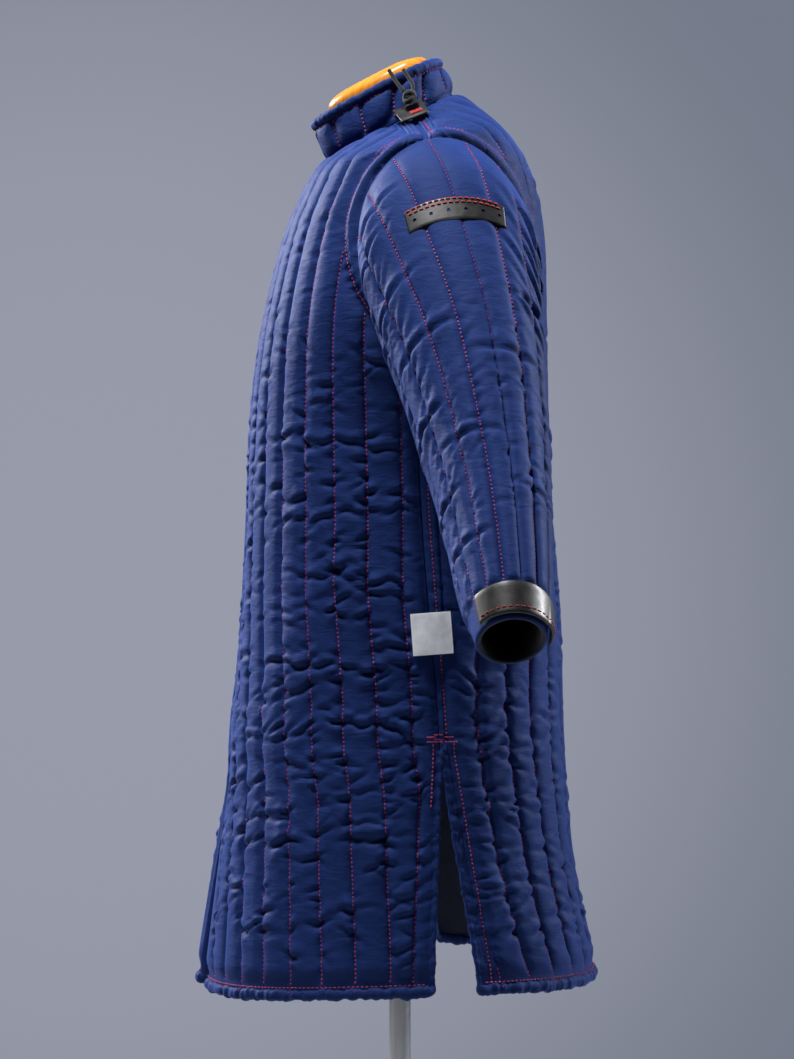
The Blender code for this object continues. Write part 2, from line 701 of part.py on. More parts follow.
# ---------------------------------------------------------------- assembly
def main():
    clear_scene()
    cloth = material("navy_sateen", (0.035, 0.055, 0.200), 0.55)
    cloth_back = material("navy_sateen_back", (0.032, 0.050, 0.185), 0.55)
    binding = material("navy_binding", (0.030, 0.045, 0.170), 0.55)
    leather = material("black_leather", (0.012, 0.012, 0.013), 0.35)
    lace_mat = material("black_lace", (0.010, 0.010, 0.012), 0.60)
    label_mat = material("white_tape", (0.75, 0.76, 0.78), 0.70)
    form_mat = material("form_cloth", (0.60, 0.58, 0.54), 0.75)
    wood = material("lacquered_wood", (0.42, 0.20, 0.06), 0.25)
    steel = material("brushed_steel", (0.55, 0.56, 0.58), 0.35, 1.0)
    plate = material("plate_paint", (0.05, 0.05, 0.055), 0.45)

    cutters = {1: arm_cutter(1), -1: arm_cutter(-1)}

    for sign, side in ((1, "left"), (-1, "right")):
        outer, inner = front_grids(sign)
        panel = wall_body("front_" + side, outer, inner, cloth)
        cut_with(panel, cutters[sign])
        hem_bar("hem_binding_front_" + side, outer[0], inner[0], binding)

    outer, inner = back_grids()
    back = wall_body("back", outer, inner, cloth_back)
    cut_with(back, cutters[1])
    cut_with(back, cutters[-1])
    hem_bar("hem_binding_back", outer[0], inner[0], binding)

    for sign, side in ((1, "left"), (-1, "right")):
        turn_over = (lambda g: g) if sign > 0 else mirrored
        outer, inner = sleeve_grids()
        wall_body("sleeve_" + side, turn_over(outer), turn_over(inner), cloth, wrap=True)
        outer, inner = leather_on_sleeve(CUFF_SPAN, CUFF_TURN, 15, 3)
        wall_body("cuff_leather_" + side, turn_over(outer), turn_over(inner), leather)
        outer, inner = leather_on_sleeve(STRIP_SPAN, STRIP_TURN, 9, 3, STRIP_RISE)
        wall_body("lacing_strip_" + side, turn_over(outer), turn_over(inner), leather)
        outer, inner = patch_grids()
        wall_body("point_patch_" + side, turn_over(outer), turn_over(inner), leather)
        knot_body("lace_knot_" + side, np.array([sign, 1.0, 1.0]) * knot_centre(), lace_mat)
        for end, which in ((-1, "a"), (1, "b")):
            route = turn_over(tail_route(end))
            tube("lace_tail_" + side + "_" + which, route, LACE_DIAMETER / 2, lace_mat)

    outer, inner = collar_grids()
    wall_body("collar", outer, inner, cloth)
    bar("collar_binding", collar_binding_sections(), binding)
    outer, inner = label_grids()
    wall_body("label", outer, inner, label_mat)

    lathe_like("form_torso", form_rings(), form_mat)
    lathe_like("form_neck_cap", cap_rings(), wood)
    lathe_like("form_pole", disc_rings((
        (POLE_RADIUS, FOOT_HEIGHT + 0.0103), (POLE_RADIUS, FORM_BOTTOM - 0.0003)), 32), steel)
    lathe_like("form_base", disc_rings((
        (FOOT_RADIUS - 0.002, 0.0), (FOOT_RADIUS, 0.002), (FOOT_RADIUS, FOOT_HEIGHT - 0.003),
        (FOOT_RADIUS - 0.003, FOOT_HEIGHT), (0.034, FOOT_HEIGHT), (0.026, FOOT_HEIGHT + 0.010)), 48), plate)


main()
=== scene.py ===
import math

import bpy
import numpy as np
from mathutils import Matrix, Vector


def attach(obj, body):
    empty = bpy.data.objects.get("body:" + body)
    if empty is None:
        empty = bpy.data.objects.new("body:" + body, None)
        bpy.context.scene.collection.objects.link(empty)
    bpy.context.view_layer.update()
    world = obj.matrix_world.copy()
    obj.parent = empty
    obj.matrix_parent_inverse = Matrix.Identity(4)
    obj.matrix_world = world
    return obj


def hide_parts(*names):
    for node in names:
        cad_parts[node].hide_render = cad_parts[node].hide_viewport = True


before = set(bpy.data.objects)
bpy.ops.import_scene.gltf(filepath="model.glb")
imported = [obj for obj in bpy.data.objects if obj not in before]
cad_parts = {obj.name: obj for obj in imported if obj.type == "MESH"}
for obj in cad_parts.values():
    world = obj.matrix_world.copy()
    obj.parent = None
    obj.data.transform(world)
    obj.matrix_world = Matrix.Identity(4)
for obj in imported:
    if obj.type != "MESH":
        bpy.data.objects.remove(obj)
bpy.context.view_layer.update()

# =====================================================================
# Sizes: the same named sizes and tables as the construction
# =====================================================================
CHANNEL = 0.040
WALL = 0.014
SLEEVE_WALL = 0.009
SLEEVE_CHANNELS = 14
COLLAR_WALL = 0.010
FOOT_RADIUS, FOOT_HEIGHT, POLE_RADIUS, FORM_BOTTOM = 0.200, 0.012, 0.0125, 0.800
FORM_DEPTH = 0.0205
CAP_SET_BACK = 0.0075
FRONT_SLIT_TOP = 0.735
SIDE_SLIT_TOP = 0.744
HEM_LIFT, HEM_LIFT_FROM = 0.011, 0.620

RINGS = [
    # z_front z_back y_front y_back half_w  p_x   p_y  seam_f  seam_b  gap
    (0.4600, 0.4715, 0.2305, 0.2290, 0.2400, 2.30, 2.15, 0.0145, 0.0710, 0.018),
    (0.5200, 0.5270, 0.2225, 0.2135, 0.2340, 2.30, 2.15, 0.0165, 0.0620, 0.014),
    (0.6000, 0.6050, 0.2120, 0.1990, 0.2280, 2.30, 2.15, 0.0200, 0.0495, 0.009),
    (0.6800, 0.6830, 0.2010, 0.1920, 0.2215, 2.30, 2.15, 0.0235, 0.0365, 0.004),
    (0.7440, 0.7460, 0.1985, 0.1885, 0.2170, 2.30, 2.15, 0.0260, 0.0264, 0.0),
    (0.8000, 0.8000, 0.1920, 0.1870, 0.2145, 2.30, 2.15, 0.0220, 0.0220, 0.0),
    (0.8650, 0.8650, 0.1870, 0.1855, 0.2130, 2.30, 2.15, 0.0165, 0.0165, 0.0),
    (0.9300, 0.9300, 0.1830, 0.1810, 0.2100, 2.30, 2.15, 0.0110, 0.0110, 0.0),
    (1.0000, 1.0000, 0.1795, 0.1750, 0.2070, 2.30, 2.15, 0.0060, 0.0060, 0.0),
    (1.0700, 1.0700, 0.1770, 0.1720, 0.2060, 2.30, 2.15, 0.0025, 0.0025, 0.0),
    (1.1300, 1.1350, 0.1730, 0.1700, 0.2120, 2.30, 2.15, 0.0005, 0.0005, 0.0),
    (1.1900, 1.2000, 0.1655, 0.1680, 0.2210, 2.35, 2.15, 0.0000, 0.0000, 0.0),
    (1.2400, 1.2550, 0.1560, 0.1670, 0.2250, 2.40, 2.15, 0.0020, 0.0020, 0.0),
    (1.2900, 1.3100, 0.1440, 0.1653, 0.2250, 2.40, 2.15, 0.0040, 0.0040, 0.0),
    (1.3300, 1.3600, 0.1320, 0.1580, 0.2230, 2.40, 2.10, 0.0060, 0.0060, 0.0),
    (1.3600, 1.4000, 0.1190, 0.1455, 0.2200, 2.35, 2.00, 0.0080, 0.0080, 0.0),
    (1.3780, 1.4250, 0.1110, 0.1310, 0.2175, 2.30, 1.90, 0.0095, 0.0095, 0.0),
    (1.3870, 1.4400, 0.1060, 0.1190, 0.2100, 2.25, 1.85, 0.0100, 0.0100, 0.0),
    (1.3940, 1.4550, 0.1015, 0.1050, 0.1750, 2.20, 1.90, 0.0090, 0.0090, 0.0),
    (1.4000, 1.4680, 0.0975, 0.0920, 0.1400, 2.10, 1.95, 0.0070, 0.0070, 0.0),
    (1.4050, 1.4800, 0.0925, 0.0790, 0.1060, 2.05, 2.00, 0.0040, 0.0040, 0.0),
    (1.4080, 1.4890, 0.0880, 0.0640, 0.0800, 2.00, 2.00, 0.0000, 0.0000, 0.0),
]
COLLAR = [
    # z_front z_back y_front y_back half_w  p_x  p_y
    (1.4088, 1.4898, 0.0875, 0.0635, 0.0795, 2.0, 2.0),
    (1.4260, 1.5045, 0.0965, 0.0560, 0.0775, 2.0, 2.0),
    (1.4430, 1.5195, 0.1015, 0.0500, 0.0760, 2.0, 2.0),
]
ARM_Y, ARM_Z, ARM_HALF_Y, ARM_HALF_Z, ARM_SEAM = 0.031, 1.300, 0.097, 0.112, 0.0005
SLEEVE = [
    # out_x  out_z   in_x   in_z    mid_y  half_y  turn_deg
    (0.2130, 1.4120, 0.2220, 1.1880, 0.0310, 0.0970, -12.0),
    (0.2640, 1.3720, 0.2330, 1.1500, 0.0350, 0.0965, -6.0),
    (0.3060, 1.3000, 0.2440, 1.1050, 0.0430, 0.0870, 0.0),
    (0.3460, 1.2150, 0.2630, 1.0500, 0.0540, 0.0765, 6.0),
    (0.3860, 1.1250, 0.2930, 0.9850, 0.0640, 0.0660, 8.0),
    (0.4260, 1.0400, 0.3320, 0.9220, 0.0700, 0.0560, 10.0),
    (0.4640, 0.9650, 0.3790, 0.8700, 0.0725, 0.0490, 12.0),
    (0.5030, 0.8930, 0.4290, 0.8380, 0.0735, 0.0395, 13.0),
]
CUFF_SPAN, CUFF_TURN = (6.50, 6.97), (-56.0, 104.0)
STRIP_SPAN, STRIP_TURN, STRIP_RISE = (1.56, 1.87), (-38.0, 31.0), 0.08
LABEL_SIZE, LABEL_CENTRE = (0.044, 0.046), (0.0160, 0.8630)
PATCH_ALONG, PATCH_HALF, PATCH_TILT = (0.090, 0.122), 0.015, 0.0085
KNOT_RADIUS, LACE_DIAMETER, LEATHER = 0.0075, 0.0045, 0.0028

# looks
VALLEY = 0.0052          # stitch lines sink this far below the crowns
CROWN = 0.0006
STITCH_PITCH, STITCH_LENGTH, STITCH_RADIUS = 0.0048, 0.0035, 0.00078
LIP = 0.0125             # edge stitching round the armhole, from its edge
SEAM_STITCH = 0.0055     # stitching beside the side and shoulder seams


# =====================================================================
# Geometry of the rings and the sleeve, for arrays of points
# =====================================================================
def cubic(table, t):
    rows = np.asarray(table, float)
    t = np.clip(np.asarray(t, float), 0.0, len(rows) - 1.0)
    i = np.minimum(t.astype(int), len(rows) - 2)
    f = (t - i)[..., None]
    a, b = rows[np.maximum(i - 1, 0)], rows[i]
    c, d = rows[i + 1], rows[np.minimum(i + 2, len(rows) - 1)]
    m0, m1 = (c - a) / 2, (d - b) / 2
    return ((2 * f**3 - 3 * f**2 + 1) * b + (f**3 - 2 * f**2 + f) * m0
            + (3 * f**2 - 2 * f**3) * c + (f**3 - f**2) * m1)


def oval(rows, ang):
    z_f, z_b, y_f, y_b, w, p, q = (rows[..., k] for k in range(7))
    c, s = np.cos(ang), np.sin(ang)
    x = w * np.sign(s) * np.abs(s) ** (2 / p)
    depth = np.abs(c) ** (2 / q)
    y = np.where(c > 0, -y_f * depth, y_b * depth)
    z = z_f + (z_b - z_f) * (y + y_f) / (y_f + y_b)
    z = z + HEM_LIFT * np.maximum(0.0, (HEM_LIFT_FROM - z) / 0.16) * s * s
    return np.stack([x, y, z], -1)


def unit(v):
    return v / np.maximum(np.linalg.norm(v, axis=-1, keepdims=True), 1e-12)


def body_point(t, ang):
    return oval(cubic(RINGS, t), ang)


def body_normal(t, ang):
    t, ang = np.broadcast_arrays(np.asarray(t, float), np.asarray(ang, float))
    across = body_point(t, ang + 0.02) - body_point(t, ang - 0.02)
    up = body_point(np.minimum(t + 0.08, len(RINGS) - 1), ang) - body_point(np.maximum(t - 0.08, 0), ang)
    return unit(np.cross(across, up))


def angle_at_y(rows, y):
    y = np.asarray(y, float)
    front = np.arccos(np.minimum(1.0, np.abs(y) / rows[..., 2]) ** (rows[..., 6] / 2))
    back = np.pi - np.arccos(np.minimum(1.0, np.abs(y) / rows[..., 3]) ** (rows[..., 6] / 2))
    return np.where(y <= 0, front, back)


def body_side(y, z):
    """Surface point and normal of the left side at given Y and Z (arrays)."""
    y, z = np.broadcast_arrays(np.asarray(y, float), np.asarray(z, float))
    lo, hi = np.zeros(y.shape), np.full(y.shape, len(RINGS) - 1.0)
    for _ in range(36):
        mid = (lo + hi) / 2
        r = cubic(RINGS, mid)
        h = r[..., 0] + (r[..., 1] - r[..., 0]) * (y + r[..., 2]) / (r[..., 2] + r[..., 3])
        low = h < z
        lo, hi = np.where(low, mid, lo), np.where(low, hi, mid)
    t = (lo + hi) / 2
    ang = angle_at_y(cubic(RINGS, t), y)
    return body_point(t, ang), body_normal(t, ang)


def sleeve_point(station, turn):
    """Crown point and outward normal of the left sleeve; turn in degrees."""
    station, turn = np.broadcast_arrays(np.asarray(station, float), np.asarray(turn, float))
    r = cubic(SLEEVE, station)
    ox, oz, ix, iz, my, half_y = (r[..., k] for k in range(6))
    centre = np.stack([(ox + ix) / 2, my, (oz + iz) / 2], -1)
    up = np.stack([ox - ix, np.zeros_like(ox), oz - iz], -1)
    half = np.linalg.norm(up, axis=-1, keepdims=True) / 2
    up = up / (2 * half)
    c, s = np.cos(np.radians(turn))[..., None], np.sin(np.radians(turn))[..., None]
    aft = np.array([0.0, 1.0, 0.0])
    hy = half_y[..., None]
    p = centre + up * half * c + aft * hy * s
    n = unit(up * hy * c + aft * half * s)
    f = np.clip(station, 0, 1)[..., None]
    blend = np.where(station[..., None] < 1.0, 1 - f * f * (3 - 2 * f), 0.0)
    y = ARM_Y + (ARM_HALF_Y - ARM_SEAM) * s[..., 0]
    z = ARM_Z + (ARM_HALF_Z - ARM_SEAM) * c[..., 0]
    base, _ = body_side(y, z)
    lift = 0.004 + np.minimum(station, 0.0) * 0.05
    head = np.stack([base[..., 0] + lift, y, z], -1)
    head_n = unit(np.stack([np.zeros_like(y), ARM_HALF_Z * s[..., 0], ARM_HALF_Y * c[..., 0]], -1))
    r0 = cubic(SLEEVE, np.zeros_like(station))
    c0 = np.stack([(r0[..., 0] + r0[..., 2]) / 2, r0[..., 4], (r0[..., 1] + r0[..., 3]) / 2], -1)
    up0 = np.stack([r0[..., 0] - r0[..., 2], np.zeros_like(ox), r0[..., 1] - r0[..., 3]], -1) / 2
    start = c0 + up0 * c + aft * r0[..., 5][..., None] * s
    p = p + (head - start) * blend
    n = unit(n * (1 - blend) + head_n * blend)
    return p, n


def collar_axis():
    z_f, z_b, y_f, y_b = COLLAR[0][:4]
    slope = math.atan2(z_b - z_f, y_f + y_b)
    return np.array([0.0, -math.sin(slope), math.cos(slope)])


def collar_point(level, ang):
    rows = cubic(COLLAR, level)
    p = oval(rows, ang)
    n = unit(np.cross(oval(rows, ang + 0.02) - oval(rows, ang - 0.02), collar_axis()))
    return p, n


def smooth(x):
    x = np.clip(x, 0.0, 1.0)
    return x * x * (3 - 2 * x)


def soft_noise(rng, rows, cols, cell_r, cell_c, wrap=False):
    """Smooth noise of unit deviation on a grid, with the given cell sizes in grid steps."""
    nr, nc = int(rows / cell_r) + 4, int(cols / cell_c) + 4
    if wrap:
        nc = max(4, int(round(cols / cell_c)))
    base = rng.standard_normal((nr, nc))
    ri = np.arange(rows) / cell_r + 1
    ci = np.arange(cols) / cols * nc if wrap else np.arange(cols) / cell_c + 1

    def pick(a, x, axis, wrapped):
        n = a.shape[axis]
        i = np.floor(x).astype(int)
        f = x - i
        shape = [1, 1]
        shape[axis] = len(x)
        f = f.reshape(shape)
        w = [-0.5 * f**3 + f**2 - 0.5 * f, 1.5 * f**3 - 2.5 * f**2 + 1,
             -1.5 * f**3 + 2 * f**2 + 0.5 * f, 0.5 * f**3 - 0.5 * f**2]
        out = 0
        for k in range(4):
            j = i - 1 + k
            j = j % n if wrapped else np.clip(j, 0, n - 1)
            out = out + w[k] * np.take(a, j, axis=axis)
        return out

    out = pick(pick(base, ri, 0, False), ci, 1, wrap)
    return out / out.std()


# =====================================================================
# Cloth: relaxation of a padded sheet on its own grid
# =====================================================================
def relax(points, base, normal, target, pinned, rest_h, rest_v, steps, wrap=False, soft=0.035):
    """Lets cloth that is cut longer than its seams settle between its pinned lines."""
    P = points.copy()
    w = np.where(pinned, 0.0, 1.0)[..., None]
    rest_d1 = rest_d2 = None
    if wrap:
        P = np.concatenate([P, P[:, :1]], 1)
        base = np.concatenate([base, base[:, :1]], 1)
        normal = np.concatenate([normal, normal[:, :1]], 1)
        target = np.concatenate([target, target[:, :1]], 1)
        w = np.concatenate([w, w[:, :1]], 1)
    R, C = P.shape[:2]
    rest_d1 = np.sqrt(rest_h[:-1] ** 2 + rest_v[:, :-1] ** 2)
    rest_d2 = rest_d1

    def pair(a, b, rest, k):
        A, B = P[a], P[b]
        wa, wb = w[a], w[b]
        d = B - A
        L = np.linalg.norm(d, axis=-1, keepdims=True) + 1e-9
        m = d * (k * (L - rest[..., None]) / L / np.maximum(wa + wb, 1e-6))
        P[a] = A + wa * m
        P[b] = B - wb * m

    sl = slice
    for it in range(steps):
        h = ((P - base) * normal).sum(-1)
        gap = target - h
        push = np.where(gap > 0, soft, soft * 0.45) * gap
        P += w * normal * push[..., None]
        for s0 in (0, 1):
            n = (R - s0) // 2
            if n > 0:
                pair((sl(s0, s0 + 2 * n, 2),), (sl(s0 + 1, s0 + 2 * n, 2),), rest_v[s0:s0 + 2 * n - 1:2], 0.9)
        for s0 in (0, 1):
            n = (C - s0) // 2
            if n > 0:
                pair((sl(None), sl(s0, s0 + 2 * n, 2)), (sl(None), sl(s0 + 1, s0 + 2 * n, 2)), rest_h[:, s0:s0 + 2 * n - 1:2], 0.8)
        for s0 in (0, 1):
            n = (R - s0) // 2
            if n > 0:
                pair((sl(s0, s0 + 2 * n, 2), sl(0, C - 1)), (sl(s0 + 1, s0 + 2 * n, 2), sl(1, C)), rest_d1[s0:s0 + 2 * n - 1:2], 0.25)
                pair((sl(s0, s0 + 2 * n, 2), sl(1, C)), (sl(s0 + 1, s0 + 2 * n, 2), sl(0, C - 1)), rest_d2[s0:s0 + 2 * n - 1:2], 0.25)
        # bending along the rows' direction, then a little across
        q = P[:-4] - 4 * P[1:-3] + 6 * P[2:-2] - 4 * P[3:-1] + P[4:]
        P[2:-2] -= w[2:-2] * 0.035 * q
        q = P[:, :-4] - 4 * P[:, 1:-3] + 6 * P[:, 2:-2] - 4 * P[:, 3:-1] + P[:, 4:]
        P[:, 2:-2] -= w[:, 2:-2] * 0.010 * q
        if wrap:
            m = (P[:, 0] + P[:, -1]) / 2
            P[:, 0] = m
            P[:, -1] = m
    return P[:, :-1] if wrap else P


def twice(a, axis, wrap=False):
    """Doubles a grid along an axis with a smooth curve through its points."""
    a = np.moveaxis(a, axis, 0)
    if wrap:
        p, q = np.roll(a, 1, 0), np.roll(a, -1, 0)
        r = np.roll(a, -2, 0)
        mid = (-p + 9 * a + 9 * q - r) / 16
        out = np.empty((2 * len(a),) + a.shape[1:])
        out[0::2], out[1::2] = a, mid
    else:
        p = np.concatenate([2 * a[:1] - a[1:2], a, 2 * a[-1:] - a[-2:-1]])
        mid = (-p[:-3] + 9 * p[1:-2] + 9 * p[2:-1] - p[3:]) / 16
        out = np.empty((2 * len(a) - 1,) + a.shape[1:])
        out[0::2], out[1::2] = a, mid
    return np.moveaxis(out, 0, axis)


# =====================================================================
# Meshes
# =====================================================================
class Build:
    """Collects points, faces and material numbers of one piece."""

    def __init__(self):
        self.points, self.uvs, self.faces, self.mats, self.count = [], [], [], [], 0

    def add_points(self, pts, uv=None):
        pts = np.asarray(pts, float).reshape(-1, 3)
        uv = np.zeros((len(pts), 2)) if uv is None else np.asarray(uv, float).reshape(-1, 2)
        self.points.append(pts)
        self.uvs.append(uv)
        first = self.count
        self.count += len(pts)
        return first

    def add_faces(self, faces, mat=0):
        faces = np.asarray(faces, int)
        if len(faces):
            self.faces.append(faces)
            self.mats.append(np.full(len(faces), mat))

    def grid(self, P, uv=None, wrap=False, flip=False, mat=0, keep=None):
        rows, cols = P.shape[:2]
        first = self.add_points(P, uv)
        idx = first + np.arange(rows * cols).reshape(rows, cols)
        if wrap:
            idx = np.concatenate([idx, idx[:, :1]], 1)
        q = np.stack([idx[:-1, :-1], idx[:-1, 1:], idx[1:, 1:], idx[1:, :-1]], -1)
        if keep is not None:
            q = q[keep]
        q = q.reshape(-1, 4)
        self.add_faces(q[:, ::-1] if flip else q, mat)
        return idx

    def mesh(self, name, materials, smooth_angle=None):
        pts = np.concatenate(self.points)
        uvs = np.concatenate(self.uvs)
        me = bpy.data.meshes.new(name)
        sizes = np.concatenate([np.full(len(f), f.shape[1]) for f in self.faces])
        loops = np.concatenate([f.reshape(-1) for f in self.faces])
        used, loops2 = np.unique(loops, return_inverse=True)
        pts, uvs = pts[used], uvs[used]
        me.vertices.add(len(pts))
        me.vertices.foreach_set("co", pts.astype(np.float32).reshape(-1))
        me.loops.add(len(loops2))
        me.loops.foreach_set("vertex_index", loops2.astype(np.int32))
        me.polygons.add(len(sizes))
        starts = np.concatenate([[0], np.cumsum(sizes)[:-1]])
        me.polygons.foreach_set("loop_start", starts.astype(np.int32))
        me.polygons.foreach_set("material_index", np.concatenate(self.mats).astype(np.int32))
        me.polygons.foreach_set("use_smooth", np.ones(len(sizes), bool))
        layer = me.uv_layers.new(name="cut")
        layer.data.foreach_set("uv", uvs[loops2].astype(np.float32).reshape(-1))
        for m in materials:
            me.materials.append(m)
        me.update(calc_edges=True)
        me.validate()
        if smooth_angle is not None:
            me.set_sharp_from_angle(angle=math.radians(smooth_angle))
        obj = bpy.data.objects.new(name, me)
        bpy.context.scene.collection.objects.link(obj)
        return obj


def flipped(P):
    P = np.array(P, float)
    P[..., 0] *= -1
    return P


def clip_grid(b, P, N, uv, f, depth, flip=False, mat=0, keep=None):
    """Adds the part of a grid where f > 0, cut along f = 0, with the cut edge turned in by depth."""
    rows, cols = P.shape[:2]
    first = b.add_points(P, uv)
    idx = first + np.arange(rows * cols).reshape(rows, cols)
    ins = f > 0
    allowed = np.ones((rows - 1, cols - 1), bool) if keep is None else keep
    count = ins[:-1, :-1].astype(int) + ins[:-1, 1:] + ins[1:, 1:] + ins[1:, :-1]
    full = (count == 4) & allowed
    q = np.stack([idx[:-1, :-1], idx[:-1, 1:], idx[1:, 1:], idx[1:, :-1]], -1)[full]
    b.add_faces(q[:, ::-1] if flip else q, mat)
    part = np.argwhere((count > 0) & (count < 4) & allowed)
    new_p, new_uv, new_n, cache = [], [], [], {}
    base = b.count
    tris, quads, pents, walls = [], [], [], []

    def cut(a, c):
        key = (a, c) if a < c else (c, a)
        if key not in cache:
            fa, fc = f[a], f[c]
            t = fa / (fa - fc)
            t = min(max(t, 0.02), 0.98)
            new_p.append(P[a] + (P[c] - P[a]) * t)
            new_n.append(N[a] + (N[c] - N[a]) * t)
            new_uv.append(uv[a] + (uv[c] - uv[a]) * t)
            cache[key] = base + len(new_p) - 1
        return cache[key]

    for i, j in part:
        ring = [(i, j), (i, j + 1), (i + 1, j + 1), (i + 1, j)]
        poly, ends = [], []
        for k in range(4):
            a, c = ring[k], ring[(k + 1) % 4]
            if ins[a]:
                poly.append(idx[a])
            if ins[a] != ins[c]:
                v = cut(a, c)
                poly.append(v)
                ends.append((v, ins[a]))
        if len(ends) != 2:
            continue
        if flip:
            poly = poly[::-1]
        {3: tris, 4: quads, 5: pents}[len(poly)].append(poly)
        # the run from the point where the ring leaves the cloth to where it comes back
        out_v = next(v for v, left in ends if left)
        in_v = next(v for v, left in ends if not left)
        walls.append((out_v, in_v))
    if new_p:
        new_p, new_n, new_uv = np.array(new_p), unit(np.array(new_n)), np.array(new_uv)
        b.add_points(new_p, new_uv)
        low = b.add_points(new_p - new_n * depth, new_uv)
        for group in (tris, quads, pents):
            b.add_faces(np.array(group, int).reshape(len(group), -1), mat) if group else None
        w = np.array([(o, low + o - base, low + n - base, n) for o, n in walls])
        b.add_faces(w if flip else w[:, ::-1], mat)
    return idx


def sweep_frame(path, up_hint):
    """Tangent, side and up along a path of points."""
    T = unit(np.gradient(path, axis=0))
    U = unit(up_hint - (up_hint * T).sum(-1, keepdims=True) * T)
    return T, unit(np.cross(T, U)), U


def add_tube(b, path, U, S, profile, mat=0, cap=True, closed=False):
    """A tube along the path; profile (points x 2) in the U and S directions, may vary along the path."""
    profile = np.asarray(profile, float)
    if profile.ndim == 2:
        profile = np.broadcast_to(profile, (len(path),) + profile.shape)
    P = path[:, None] + U[:, None] * profile[..., :1] + S[:, None] * profile[..., 1:]
    run = np.concatenate([[0], np.cumsum(np.linalg.norm(np.diff(path, axis=0), axis=1))])
    n = profile.shape[1]
    uv = np.stack(np.broadcast_arrays(run[:, None], np.arange(n)[None] * 0.002), -1)
    if closed:
        P = np.concatenate([P, P[:1]])
        uv = np.concatenate([uv, uv[:1]])
    idx = b.grid(P, uv, wrap=True, mat=mat)
    if cap and not closed:
        for row, rev in ((idx[0, :-1], False), (idx[-1, :-1], True)):
            centre = b.add_points(P[0 if not rev else -1].mean(0)[None])
            nxt = np.roll(row, -1)
            tri = np.stack([row, nxt, np.full(len(row), centre)], -1)
            b.add_faces(tri if rev else tri[:, ::-1], mat)
    return P


class Stitches:
    """All stitches of one thread, as short bars with eight corners each."""

    def __init__(self):
        self.a, self.b, self.n, self.r = [], [], [], []

    def run(self, path, normal, pitch=STITCH_PITCH, length=STITCH_LENGTH, radius=STITCH_RADIUS, lift=0.0004, start=0.5):
        path, normal = np.asarray(path, float), np.asarray(normal, float)
        if len(path) < 3:
            return
        run = np.concatenate([[0], np.cumsum(np.linalg.norm(np.diff(path, axis=0), axis=1))])
        if run[-1] < pitch:
            return
        mids = np.arange(start * pitch, run[-1] - length / 2, pitch)
        lo, hi = mids - length / 2, mids + length / 2

        def at(x, v):
            return np.stack([np.interp(x, run, v[:, k]) for k in range(3)], -1)

        n = unit(at(mids, normal))
        self.a.append(at(lo, path) + n * lift)
        self.b.append(at(hi, path) + n * lift)
        self.n.append(n)
        self.r.append(np.full(len(mids), radius))

    def bars(self, a, b, n, radius):
        self.a.append(np.asarray(a, float).reshape(-1, 3))
        self.b.append(np.asarray(b, float).reshape(-1, 3))
        self.n.append(np.asarray(n, float).reshape(-1, 3))
        self.r.append(np.full(len(self.a[-1]), radius))

    def mesh(self, name, mat):
        a, e, n = np.concatenate(self.a), np.concatenate(self.b), unit(np.concatenate(self.n))
        r = np.concatenate(self.r)[:, None]
        d = unit(e - a)
        s = unit(np.cross(d, n))
        n = np.cross(s, d)
        L = np.linalg.norm(e - a, axis=-1, keepdims=True)
        P = [a - n * r * 1.2]
        for f in (0.16, 0.84):
            c = a + d * L * f
            P += [c + s * r, c + n * r, c - s * r]
        P.append(e - n * r * 1.2)
        P = np.stack(P, 1)
        m = len(a)
        b = Build()
        b.add_points(P)
        base = (np.arange(m) * 8)[:, None, None]
        q = np.array([[1, 4, 5, 2], [2, 5, 6, 3], [3, 6, 4, 1]])
        b.add_faces((base + q[None]).reshape(-1, 4))
        t = np.array([[0, 1, 2], [0, 2, 3], [0, 3, 1], [7, 5, 4], [7, 6, 5], [7, 4, 6]])
        b.add_faces((base + t[None]).reshape(-1, 3))
        return b.mesh(name, [mat])


